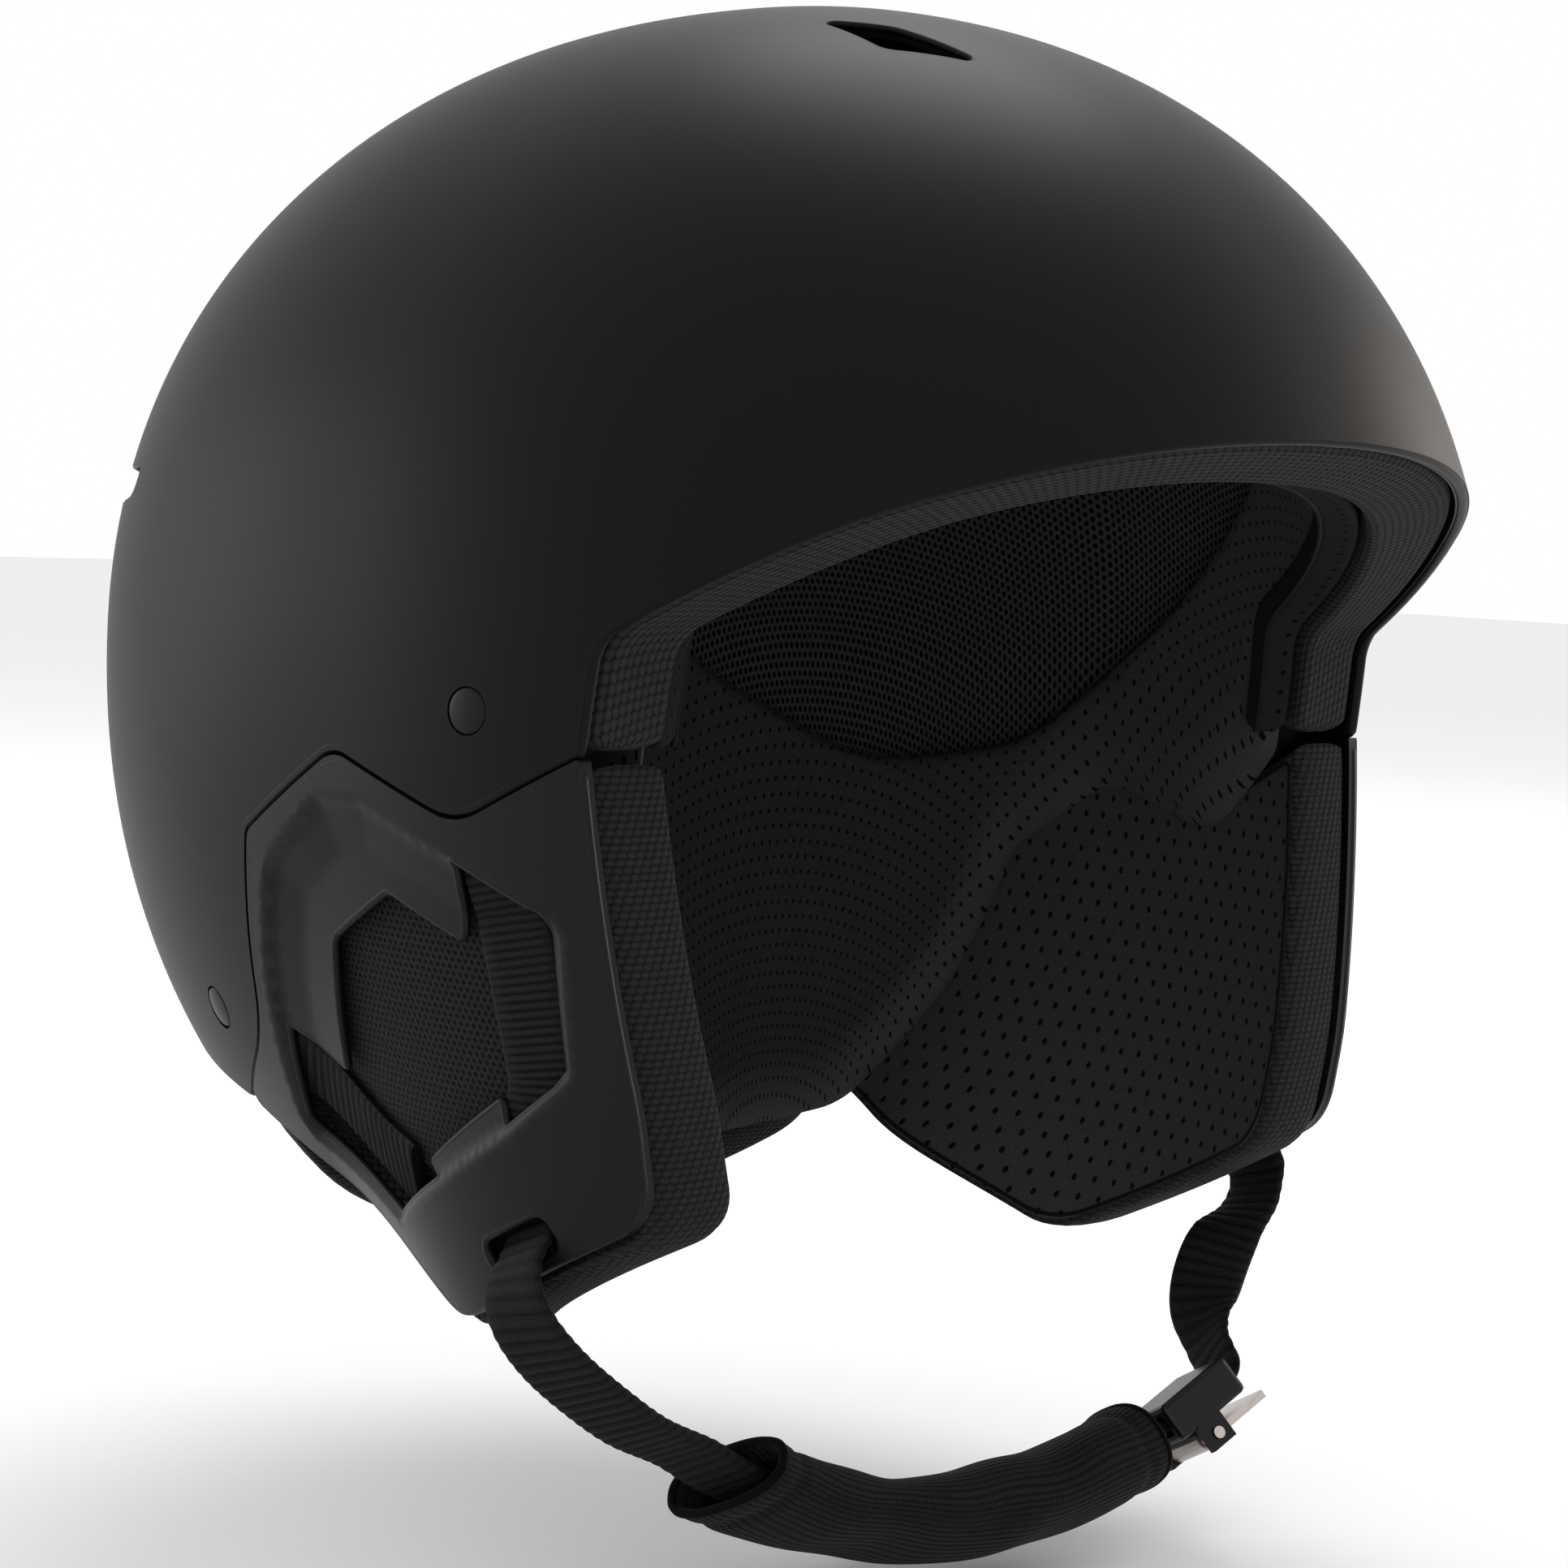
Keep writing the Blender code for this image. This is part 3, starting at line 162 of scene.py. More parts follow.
RIVET_PROFILE = [(3.86, -2.1), (3.88, -0.5), (3.82, -0.22), (3.6, -0.06), (3.2, 0.03), (1.6, 0.22),
                 (0.01, 0.28)]
SLOT = (-36.3 * MM, -92.6 * MM)
SLOT_LENGTH = 18.0 * MM
SLOT_HEIGHT = 7.6 * MM
SLOT_SLOPE = math.radians(-27)

# Chin strap.
ARC_CENTRE = np.array((6.0, -46.8, -35.5)) * MM
ARC_RADIUS = 117.5 * MM
ARC_YAW = math.radians(-7.4)
STRAP_TILT = math.radians(30)
CHIN_WEB_WIDTH = 14.4 * MM
CHIN_WEB_THICK = 2.3 * MM
RIGHT_ARC = (-34.0, -15.0)
PAD_ARC = (-28.5, 19.5)
PAD_WIDTH = 28.0 * MM
PAD_THICK = 11.0 * MM
SLEEVE_LENGTH = math.radians(PAD_ARC[1] - PAD_ARC[0]) * ARC_RADIUS
SLEEVE_WALL = 1.4 * MM
SLEEVE_ROWS = 150
SLEEVE_SIDES = 72
RIGHT_WEB = [(-92.9, -35.2, -90.4), (-95.6, -36.2, -93.3), (-98.6, -37.2, -96.5),
             (-99.4, -38.4, -101.0), (-97.0, -39.4, -106.5), (-91.0, -39.6, -113.0),
             (-82.0, -39.2, -120.0), (-71.0, -38.7, -127.3)]
LEFT_WEB = [(92.9, -35.2, -90.4), (95.6, -36.2, -93.3), (98.6, -37.2, -96.5), (99.6, -38.6, -101.0),
            (95.6, -40.0, -106.5), (87.0, -41.2, -111.0), (80.0, -43.0, -117.5), (75.0, -45.6, -124.0),
            (72.4, -49.5, -129.6)]
BUCKLE_ANGLE = 27.3
BUCKLE_ENTRY = [(11.0, 0.1), (6.6, 0.0)]
SLOT_WIDTH_AXIS = np.array((0.0, -0.89, 0.46))
LEFT_TWIST_AXIS = np.array((0.5, -0.83, -0.05))
TURN_START = 3
TURN_MARGIN = 1.5


# ---- node materials

class Graph:
    """Small helper to write a node material as expressions."""

    def __init__(self, name, roughness, specular=0.5, metallic=0.0, sheen=0.0):
        self.material = bpy.data.materials.new(name)
        self.material.use_nodes = True
        self.tree = self.material.node_tree
        self.shader = self.tree.nodes["Principled BSDF"]
        self.set("Roughness", roughness)
        self.set("Metallic", metallic)
        self.set("Specular IOR Level", specular)
        self.set("Sheen Weight", sheen)
        self.set("Sheen Roughness", 0.4)

    def plug(self, socket, value):
        if isinstance(value, bpy.types.NodeSocket):
            self.tree.links.new(value, socket)
        else:
            socket.default_value = value

    def set(self, socket, value):
        self.plug(self.shader.inputs[socket], value)

    def node(self, kind, **inputs):
        made = self.tree.nodes.new(kind)
        for name, value in inputs.items():
            self.plug(made.inputs[name], value)
        return made

    def math(self, operation, a, b=0.0, clamp=False):
        made = self.tree.nodes.new("ShaderNodeMath")
        made.operation = operation
        made.use_clamp = clamp
        self.plug(made.inputs[0], a)
        self.plug(made.inputs[1], b)
        return made.outputs[0]

    def plus(self, a, b):
        return self.math("ADD", a, b)

    def minus(self, a, b, clamp=False):
        return self.math("SUBTRACT", a, b, clamp)

    def times(self, a, b, clamp=False):
        return self.math("MULTIPLY", a, b, clamp)

    def divided(self, a, b):
        return self.math("DIVIDE", a, b)

    def ridges(self, a, pitch):
        """Round ridges across a coordinate, from 0 in each groove to 1 on each crest."""
        return self.math("ABSOLUTE", self.math("SINE", self.times(a, math.pi / pitch)))

    def mix(self, factor, a, b):
        """Linear blend of two numbers."""
        return self.plus(self.times(a, self.minus(1.0, factor)), self.times(b, factor))

    def colours(self, factor, low, high):
        """Blend of two colours, set as the surface's own colour."""
        made = self.tree.nodes.new("ShaderNodeMix")
        made.data_type = "RGBA"
        self.plug(made.inputs["Factor"], factor)
        made.inputs["A"].default_value = (*low, 1.0)
        made.inputs["B"].default_value = (*high, 1.0)
        self.set("Base Color", made.outputs["Result"])

    def noise(self, scale, detail=3.0, coords=None):
        coords = coords or self.node("ShaderNodeTexCoord").outputs["Object"]
        return self.node("ShaderNodeTexNoise", Scale=scale, Detail=detail, Vector=coords).outputs["Fac"]

    def bump(self, height, distance, strength=1.0):
        made = self.node("ShaderNodeBump", Height=height, Strength=strength, Distance=distance)
        self.set("Normal", made.outputs["Normal"])

    def uv(self):
        """The flat coordinates of a patch or sweep, in metres."""
        mapped = self.tree.nodes.new("ShaderNodeUVMap")
        mapped.uv_map = "flat"
        split = self.node("ShaderNodeSeparateXYZ", Vector=mapped.outputs["UV"])
        return split.outputs["X"], split.outputs["Y"]

    def box(self):
        """Two coordinates that lie in the surface, picked by which way it faces."""
        source = self.tree.nodes.new("ShaderNodeTexCoord")
        place = self.node("ShaderNodeSeparateXYZ", Vector=source.outputs["Object"]).outputs
        faces = self.node("ShaderNodeSeparateXYZ", Vector=source.outputs["Normal"]).outputs
        sideways = self.math("GREATER_THAN", self.math("ABSOLUTE", faces["X"]), 0.6)
        flat = self.math("GREATER_THAN", self.math("ABSOLUTE", faces["Z"]), 0.75)
        across = self.mix(sideways, place["X"], place["Y"])
        return across, self.mix(flat, place["Z"], self.mix(sideways, place["Y"], place["Z"]))

    def cells(self, u, v, pitch_u, pitch_v, slant=0.0):
        """Offset rows of cells: coordinates in each cell, from -0.5 to 0.5."""
        rows = self.divided(v, pitch_v)
        row = self.math("FLOOR", rows)
        shift = self.plus(self.times(self.math("MODULO", row, 2.0), 0.5), self.times(row, slant))
        columns = self.plus(self.divided(u, pitch_u), shift)
        return self.minus(self.math("FRACT", columns), 0.5), self.minus(self.math("FRACT", rows), 0.5)

    def ellipse(self, a, b, radius_a, radius_b):
        """1 at a cell's centre, falling to 0 at an ellipse."""
        first = self.math("POWER", self.divided(a, radius_a), 2.0)
        second = self.math("POWER", self.divided(b, radius_b), 2.0)
        return self.minus(1.0, self.plus(first, second), clamp=True)


def moulded_plastic(name, roughness, specular, grain, cloud, dark, light):
    """Satin plastic with a fine grain and slow changes of tone and gloss."""
    g = Graph(name, roughness, specular)
    clouds = g.noise(cloud)
    g.colours(clouds, dark, light)
    g.set("Roughness", g.plus(g.times(clouds, 0.06), roughness - 0.04))
    g.bump(g.noise(grain, 2.0), 0.00002, 0.35)
    return g.material


def small_plastic():
    g = Graph("buckle_plastic", 0.36, specular=0.2)
    g.colours(g.noise(60.0), (0.003, 0.003, 0.003), (0.006, 0.006, 0.006))
    g.bump(g.noise(900.0), 0.00003, 0.3)
    return g.material


def brushed_steel():
    g = Graph("brushed_steel", 0.34, metallic=1.0)
    source = g.node("ShaderNodeTexCoord").outputs["Object"]
    stretch = g.node("ShaderNodeMapping", Scale=(250.0, 4200.0, 250.0), Vector=source)
    lines = g.noise(1.0, 4.0, stretch.outputs["Vector"])
    g.colours(lines, (0.38, 0.34, 0.32), (0.62, 0.57, 0.54))
    g.set("Roughness", g.plus(g.times(lines, 0.2), 0.26))
    g.bump(lines, 0.00003, 0.5)
    return g.material


def bead_foam():
    g = Graph("bead_foam", 0.8)
    beads = g.node("ShaderNodeTexVoronoi", Scale=320.0).outputs["Distance"]
    g.colours(beads, (0.018, 0.018, 0.019), (0.006, 0.006, 0.006))
    g.bump(beads, -0.0004, 0.6)
    return g.material


def knit(name, pitch, coords, tone):
    """Chunky knit: offset rows of loops with dark gaps between them, and fine yarn."""
    g = Graph(name, 0.9, specular=0.08, sheen=0.03)
    a, b = g.cells(*getattr(g, coords)(), pitch * 1.25, pitch * 0.8, slant=0.25)
    loop = g.math("POWER", g.ellipse(a, b, 0.60, 0.60), 0.6)
    yarn = g.noise(2600.0, 2.0)
    light = (0.026 * tone, 0.0245 * tone, 0.0225 * tone)
    g.colours(g.times(loop, g.plus(yarn, 0.4)), (0.0022, 0.0021, 0.0020), light)
    g.bump(g.plus(loop, g.times(yarn, 0.25)), 0.0005, 0.9)
    return g.material


def perforate(g, spot, fuzz, dark, light):
    """Fleece with a dark, sunk hole in each cell; spot is a cell's ellipse."""
    hole = g.times(spot, 2.0, clamp=True)
    fleece = g.noise(1800.0)
    surface = g.times(g.minus(1.0, hole), g.plus(g.times(fleece, fuzz), 0.5))
    g.colours(surface, (dark, dark, dark), light)
    g.bump(g.minus(g.times(fleece, 0.12), hole), 0.0006, 0.8)
    return g.material


def lining(coords):
    """Smooth lining with offset rows of small stretched holes."""
    g = Graph("perforated_lining_" + coords, 0.9, specular=0.1, sheen=0.03)
    a, b = g.cells(*getattr(g, coords)(), 4.4 * MM, 3.6 * MM)
    return perforate(g, g.ellipse(a, b, 0.13, 0.21), 0.6, 0.0008, (0.0390, 0.0386, 0.0380))


def strip_lining():
    """Smooth edge strip with a single row of small holes."""
    g = Graph("edge_strip", 0.9, specular=0.06)
    u, v = g.uv()
    a, _ = g.cells(u, v, 4.0 * MM, 1.0)
    row = g.divided(g.minus(v, 3.2 * MM), 6.0 * MM)
    return perforate(g, g.ellipse(a, row, 0.14, 0.09), 0.5, 0.0006, (0.0120, 0.0117, 0.0113))


def mesh_fabric(name, pitch, tone):
    """Open knitted mesh: small round holes in offset rows."""
    g = Graph(name, 0.9, specular=0.1, sheen=0.03)
    a, b = g.cells(*g.uv(), pitch, pitch * 0.8)
    hole = g.times(g.ellipse(a, b, 0.36, 0.4), 2.2, clamp=True)
    thread = g.noise(3000.0, 2.0)
    light = (0.0225 * tone, 0.0223 * tone, 0.0220 * tone)
    g.colours(g.times(g.minus(1.0, hole), g.plus(thread, 0.4)), (0.0008, 0.0008, 0.0008), light)
    g.bump(g.minus(g.times(thread, 0.2), hole), 0.0005, 0.9)
    return g.material


def webbing(name, rib, tone):
    """Woven tape: fine warp threads along it, weft across, and painted shade in the grooves between its
    ribs.
    """
    g = Graph(name, 0.75, specular=0.12, sheen=0.02)
    u, v = g.uv()
    weave = g.plus(g.times(g.ridges(v, 0.55 * MM), 0.6), g.times(g.ridges(u, 0.48 * MM), 0.4))
    # Painted shade: the colour falls to near black in each groove between the ribs, as shade would.
    shade = g.times(g.times(weave, g.plus(g.noise(900.0), 0.5)), g.ridges(u, rib))
    g.colours(shade, (0.0010, 0.0010, 0.0011), (0.0120 * tone, 0.0120 * tone, 0.0126 * tone))
    g.bump(weave, 0.00014, 0.8)
    return g.material


def rib_knit():
    """Fine ribbed knit that runs along the chin sleeve, with painted shade in the grooves between its
    ribs.
    """
    g = Graph("sleeve_knit", 0.9, specular=0.08, sheen=0.03)
    u, v = g.uv()
    wave = g.times(g.math("SINE", g.times(u, 2 * math.pi / (26 * MM))), 0.4 * MM)
    rib = g.times(g.ridges(g.plus(v, wave), 1.25 * MM), 0.75)
    height = g.plus(rib, g.times(g.ridges(u, 0.8 * MM), 0.25))
    # Painted shade: the colour follows the ribs' height and is near black in the grooves.
    shade = g.times(height, g.plus(g.noise(1200.0), 0.45))
    g.colours(shade, (0.0010, 0.0010, 0.0010), (0.0125, 0.0122, 0.0119))
    g.bump(height, 0.00035, 0.9)
    return g.material


MATERIALS = {
    "shell": moulded_plastic("satin_black_plastic", 0.46, 0.1, 1400.0, 9.0,
                             (0.0016, 0.0016, 0.0018), (0.0030, 0.0029, 0.0028)),
    "cover": moulded_plastic("cover_plastic", 0.42, 0.14, 1600.0, 14.0,
                             (0.0030, 0.0030, 0.0033), (0.0048, 0.0047, 0.0047)),
    "small": small_plastic(),
    "steel": brushed_steel(),
    "foam": bead_foam(),
    "trim": knit("trim_knit", 1.7 * MM, "uv", 0.95),
    "gusset": knit("gusset_knit", 1.5 * MM, "box", 0.74),
    "nape": knit("nape_knit", 1.2 * MM, "box", 0.45),
    "lining": lining("uv"),
    "side_lining": lining("box"),
    "crown_mesh": mesh_fabric("crown_mesh_fabric", 2.2 * MM, 1.9),
    "ear_mesh": mesh_fabric("ear_mesh_fabric", 1.5 * MM, 0.55),
    "front": webbing("front_webbing", FRONT_RIB, 0.8),
    "rear": webbing("rear_webbing", REAR_RIB, 0.9),
    "webbing": webbing("chin_webbing", CHIN_RIB, 0.9),
    "edge_tape": webbing("edge_tape", 1.2 * MM, 2.4),
    "strip": strip_lining(),
    "sleeve": rib_knit(),
}


# ---- the dome

def signed_power(value, power):
    return np.sign(value) * np.abs(value) ** power


def unit(vectors):
    return vectors / np.linalg.norm(vectors, axis=1)[:, None]


def drop_at(y):
    """How far the dome reaches down: more at the ear flaps than at the nape."""
    t = np.clip((FLAP_BLEND_BACK - y) / FLAP_BLEND_LENGTH, 0.0, 1.0)
    return NAPE_DROP + (FLAP_DROP - NAPE_DROP) * t * t * (3 - 2 * t)


def reach_at(y):
    return np.where(y < 0, FRONT_REACH, BACK_REACH)


def polar(flat):
    """Angle down from the crown, and angle round it from the front, of flat points."""
    return np.hypot(flat[:, 0], flat[:, 1]) / DISC, np.arctan2(flat[:, 0], -flat[:, 1])


def on_disc(theta, phi):
    """Flat points from their two angles."""
    return np.stack([theta * DISC * np.sin(phi), -theta * DISC * np.cos(phi)], axis=1)


def disc_point(flat, depth):
    """Points of the dome at a depth, from flat coordinates that unroll it round the crown."""
    theta, phi = polar(flat)
    spread = np.abs(np.sin(theta)) ** (2 / HEIGHT_POWER)
    reach = np.where(np.cos(phi) > 0, FRONT_REACH, BACK_REACH) - depth
    x = (HALF_WIDTH - depth) * spread * signed_power(np.sin(phi), 2 / PLAN_POWER)
    y = -reach * spread * signed_power(np.cos(phi), 2 / PLAN_POWER)
    upright = np.cos(theta)
    height = np.where(upright > 0, CROWN_HEIGHT, drop_at(y)) - depth
    return np.stack([x, y, height * signed_power(upright, 2 / HEIGHT_POWER)], axis=1)


def level_at(y, z, depth):
    """Share of the dome's width at a side-view point, to the plan's power; below 0 off the dome."""
    height = np.where(z > 0, CROWN_HEIGHT, drop_at(y)) - depth
    share = np.clip(np.abs(z / height), 0, 1)
    ahead = np.abs(y / (reach_at(y) - depth)) ** PLAN_POWER
    return (1 - share ** HEIGHT_POWER) ** (PLAN_POWER / HEIGHT_POWER) - ahead


def side_point(flat, depth, side):
    """Points of the dome at a depth, from (y, z) in the side view."""
    y, z = flat[:, 0], flat[:, 1]
    x = (HALF_WIDTH - depth) * np.clip(level_at(y, z, depth), 0, 1) ** (1 / PLAN_POWER)
    return np.stack([side * x, y, z], axis=1)


def unroll(y, z, depth):
    """Flat disc coordinates of side-view points on the +X side."""
    height = np.where(z > 0, CROWN_HEIGHT, drop_at(y)) - depth
    theta = np.arccos(np.clip(signed_power(z / height, HEIGHT_POWER / 2), -1, 1))
    spread = np.maximum(1e-6, np.abs(np.sin(theta)) ** (2 / HEIGHT_POWER))
    across = np.clip(level_at(y, z, depth), 0, 1) ** (1 / PLAN_POWER) / spread
    ahead = np.abs(y) / ((reach_at(y) - depth) * spread)
    phi = np.arctan2(np.clip(across, 0, 1) ** (PLAN_POWER / 2),
                     -np.sign(y) * np.clip(ahead, 0, 1) ** (PLAN_POWER / 2))
    return on_disc(theta, phi)


def unroll_plan(x, y):
    """Flat disc coordinates of points seen from above."""
    wide = np.abs(x / HALF_WIDTH) ** PLAN_POWER
    spread = (wide + np.abs(y / reach_at(y)) ** PLAN_POWER) ** (1 / PLAN_POWER)
    theta = np.arcsin(np.clip(spread, 0, 1) ** (HEIGHT_POWER / 2))
    phi = np.arctan2(signed_power(x / (HALF_WIDTH * spread), PLAN_POWER / 2),
                     signed_power(-y / (reach_at(y) * spread), PLAN_POWER / 2))
    return on_disc(theta, phi)


def unroll_back(x, z):
    """Flat disc coordinates of points seen from behind."""
    theta = np.arccos(np.clip(signed_power(z / CROWN_HEIGHT, HEIGHT_POWER / 2), -1, 1))
    spread = np.abs(np.sin(theta)) ** (2 / HEIGHT_POWER)
    turn = np.arcsin(np.clip(np.abs(x) / (HALF_WIDTH * spread), 0, 1) ** (PLAN_POWER / 2))
    return on_disc(theta, np.sign(x) * (math.pi - turn))


def normals_of(to_space, flat, depth):
    """Outward unit normals of the surface under flat points."""
    step = 0.3 * MM
    du = to_space(flat + (step, 0), depth) - to_space(flat - (step, 0), depth)
    dv = to_space(flat + (0, step), depth) - to_space(flat - (0, step), depth)
    normal = unit(np.cross(du, dv))
    inner = to_space(flat, depth + 1 * MM) - to_space(flat, depth)
    return normal * -np.sign((normal * inner).sum(1))[:, None]


# ---- outlines

def offset_corners(corners, distance):
    """Moves every edge of an anticlockwise outline inwards by a distance in millimetres."""
    moved = []
    count = len(corners)
    for i, corner in enumerate(corners):
        before = Vector(corners[i - 1][:2])
        here = Vector(corner[:2])
        after = Vector(corners[(i + 1) % count][:2])
        edge_in = (here - before).normalized()
        edge_out = (after - here).normalized()
        normal_in = Vector((-edge_in.y, edge_in.x))
        normal_out = Vector((-edge_out.y, edge_out.x))
        bisector = (normal_in + normal_out).normalized()
        place = here + bisector * (distance / max(0.3, bisector.dot(normal_in)))
        moved.append((place.x, place.y, corner[2]))
    return moved


def rounded(corners, closed=True):
    """Outline points in metres, with an arc at each corner that has a radius."""
    points = []
    count = len(corners)
    for i, corner in enumerate(corners):
        here = Vector(corner[:2])
        end = not closed and i in (0, count - 1)
        to_before = Vector(corners[i - 1][:2]) - here
        to_after = Vector(corners[(i + 1) % count][:2]) - here
        room = min(to_before.length, to_after.length) * 0.48
        to_before.normalize()
        to_after.normalize()
        half = math.acos(max(-1.0, min(1.0, to_before.dot(to_after)))) / 2
        if end or corner[2] <= 0 or half > math.radians(89):
            points.append(here * MM)
            continue
        tangent = min(corner[2] / math.tan(half), room)
        radius = tangent * math.tan(half)
        centre = here + (to_before + to_after).normalized() * (radius / math.sin(half))
        start = here + to_before * tangent - centre
        sweep = start.angle_signed(here + to_after * tangent - centre)
        steps = max(2, math.ceil(abs(sweep) / math.radians(8)))
        for k in range(steps + 1):
            points.append((centre + Matrix.Rotation(-sweep * k / steps, 2) @ start) * MM)
    return np.array([(p.x, p.y) for p in points])


def resample(points, step, closed=True):
    """Points about a step apart along a line."""
    ends = np.roll(points, -1, axis=0) if closed else points[1:]
    starts = points if closed else points[:-1]
    made = []
    for a, b in zip(starts, ends):
        length = np.linalg.norm(b - a)
        if length < 1e-9:
            continue
        count = max(1, int(round(length / step)))
        made += [a + (b - a) * k / count for k in range(count)]
    if not closed:
        made.append(points[-1])
    kept = [made[0]]
    for i in range(1, len(made)):
        last = i == len(made) - 1 and not closed
        if np.linalg.norm(made[i] - kept[-1]) >= step * 0.45 or last:
            kept.append(made[i])
    return np.array(kept)


def outline(corners, step=FINE_STEP, inset=0.0):
    """Closed outline in metres from corners, moved inwards by an inset in millimetres."""
    return resample(rounded(offset_corners(corners, inset)), step)


def run_along(points):
    """Distance along a line at each of its points."""
    return np.concatenate([[0], np.cumsum(np.linalg.norm(np.diff(points, axis=0), axis=1))])


def picked(values, lengths, at):
    """A line's values at chosen distances along it."""
    return np.stack([np.interp(at, lengths, column) for column in values.T], axis=1)


def both_sides(half):
    """A line from the centre outwards, continued through its mirror image."""
    return np.concatenate([half[:0:-1] * (-1, 1, 1), half])


def side_chain(corners, depth, closed=True, step=0.25 * MM):
    """The part of a side outline that lies on the dome, front to back, in side-view points."""
    points = resample(rounded(corners, closed), step, closed)
    on = level_at(points[:, 0], points[:, 1], depth) > 0
    if on.all():
        return points
    first = int(np.argmin(on))
    points, on = np.roll(points, -first, axis=0), np.roll(on, -first)
    return points[on]


def centre_line(chain, ends):
    """Flat points of a chain, with its chosen ends put on the helmet's centre line."""
    flat = chain.copy()
    for index in ends:
        radius = np.hypot(*flat[index])
        flat[index] = (0.0, math.copysign(radius, flat[index][1]))
    return flat


def round_loop(corners, depth, step=1.4 * MM):
    """Closed flat loop round the dome: a side outline on both sides, joined on the centre line."""
    chain = side_chain(corners, depth)
    flat = centre_line(unroll(chain[:, 0], chain[:, 1], depth), (0, -1))
    mirrored = flat[1:-1][::-1] * (-1, 1)
    return resample(np.concatenate([flat, mirrored]), step)


# ---- patches

def inside(points, loop):
    """True for the points that lie in a closed loop."""
    order = np.argsort(points[:, 1])
    across, up = points[order, 0], points[order, 1]
    odd = np.zeros(len(points), bool)
    for (ax, ay), (bx, by) in zip(loop, np.roll(loop, -1, axis=0)):
        if ay == by:
            continue
        low, high = np.searchsorted(up, sorted((ay, by)))
        crossing = (bx - ax) * (up[low:high] - ay) / (by - ay) + ax
        odd[low:high] ^= across[low:high] < crossing
    result = np.empty_like(odd)
    result[order] = odd
    return result


def distance(points, loop):
    """Distance from each point to a closed line of short segments."""
    tree = KDTree(len(loop))
    for number, (x, y) in enumerate(loop):
        tree.insert((x, y, 0), number)
    tree.balance()
    nearest = np.array([tree.find((x, y, 0))[1] for x, y in points])
    best = np.full(len(points), 1e9)
    for shift in (-1, 0):
        start = loop[(nearest + shift) % len(loop)]
        edge = loop[(nearest + shift + 1) % len(loop)] - start
        length = np.maximum((edge * edge).sum(axis=1), 1e-18)
        t = np.clip(((points - start) * edge).sum(axis=1) / length, 0, 1)
        best = np.minimum(best, np.linalg.norm(points - start - t[:, None] * edge, axis=1))
    return best


def grid_over(line, spacing):
    """Triangular grid of flat points over the box round a line."""
    low, high = line.min(0), line.max(0)
    grid = []
    for number, row in enumerate(np.arange(low[1], high[1], spacing * 0.87)):
        columns = np.arange(low[0] + (number % 2) * spacing / 2, high[0], spacing)
        grid.append(np.stack([columns, np.full(len(columns), row)], axis=1))
    return np.concatenate(grid)


def between(points, outer, holes):
    """True for the points in an outline and in none of its holes."""
    keep = inside(points, outer)
    for hole in holes:
        keep &= ~inside(points, hole)
    return keep


def rim_rings(loop, outer, rims):
    """Rings of points just inside a patch's edge."""
    tangent = np.roll(loop, -1, axis=0) - np.roll(loop, 1, axis=0)
    normal = unit(np.stack([-tangent[:, 1], tangent[:, 0]], axis=1))
    if not inside((loop + normal * 0.05 * MM)[:1], outer)[0] or loop is not outer:
        normal = -normal
    rings = []
    for rim in rims:
        ring = loop + normal * rim
        ring = ring[inside(ring, outer)]
        rings.append(ring[distance(ring, loop) > rim * 0.85])
    return rings


def triangulate(outer, holes=(), creases=(), spacing=2.5 * MM, rims=(), loose=()):
    """Flat points and triangles that fill an outline, even inside and exact along every line."""
    lines = [outer, *holes, *creases]
    grid = grid_over(outer, spacing)
    grid = grid[between(grid, outer, holes)]
    near = np.minimum.reduce([distance(grid, line) for line in (outer, *holes)])
    grid = grid[near > max([spacing * 0.55, *[rim * 1.3 for rim in rims]])]
    for crease in creases:
        grid = grid[distance(grid, crease) > spacing * 0.5]
    for line in loose:
        grid = grid[np.linalg.norm(grid[:, None] - line[None], axis=2).min(axis=1) > spacing * 0.5]
    extra = [*loose]
    for loop in (outer, *holes) if rims else ():
        extra += rim_rings(loop, outer, rims)
    points = np.concatenate([*lines, *extra, grid])
    edges = []
    base = 0
    for line in lines:
        edges += [(base + i, base + (i + 1) % len(line)) for i in range(len(line))]
        base += len(line)
    verts, _, faces, *_ = delaunay_2d_cdt([Vector(p) for p in points / MM], edges, [], 0, 1e-6)
    points = np.array([v[:] for v in verts]) * MM
    faces = np.array([f for f in faces if len(f) == 3])
    return points, faces[between(points[faces].mean(1), outer, holes)]


def linked(name, data):
    piece = bpy.data.objects.new(name, data)
    bpy.context.scene.collection.objects.link(piece)
    return piece


def new_body():
    """Empty mesh under construction, with the layer that holds its flat coordinates."""
    body = bmesh.new()
    body.loops.layers.uv.new("flat")
    return body


def finish(name, body, materials, sharp):
    """Turns a mesh under construction into a smooth piece, creased at its sharp edges."""
    bmesh.ops.recalc_face_normals(body, faces=body.faces)
    mesh = bpy.data.meshes.new(name)
    body.to_mesh(mesh)
    body.free()
    piece = linked(name, mesh)
    for label in materials:
        mesh.materials.append(MATERIALS[label])
    mesh.shade_smooth()
    mesh.set_sharp_from_angle(angle=math.radians(sharp))
    return piece


def skin(body, rows, along, around):
    """Faces between closed rows of vertices; around holds one value more than a row has vertices."""
    layer = body.loops.layers.uv["flat"]
    size = len(rows[0])
    for i in range(len(rows) - 1):
        for k in range(size):
            j = (k + 1) % size
            face = body.faces.new((rows[i][k], rows[i][j], rows[i + 1][j], rows[i + 1][k]))
            flat = [(along[i], around[k]), (along[i], around[k + 1]),
                    (along[i + 1], around[k + 1]), (along[i + 1], around[k])]
            for loop, place in zip(face.loops, flat):
                loop[layer].uv = place


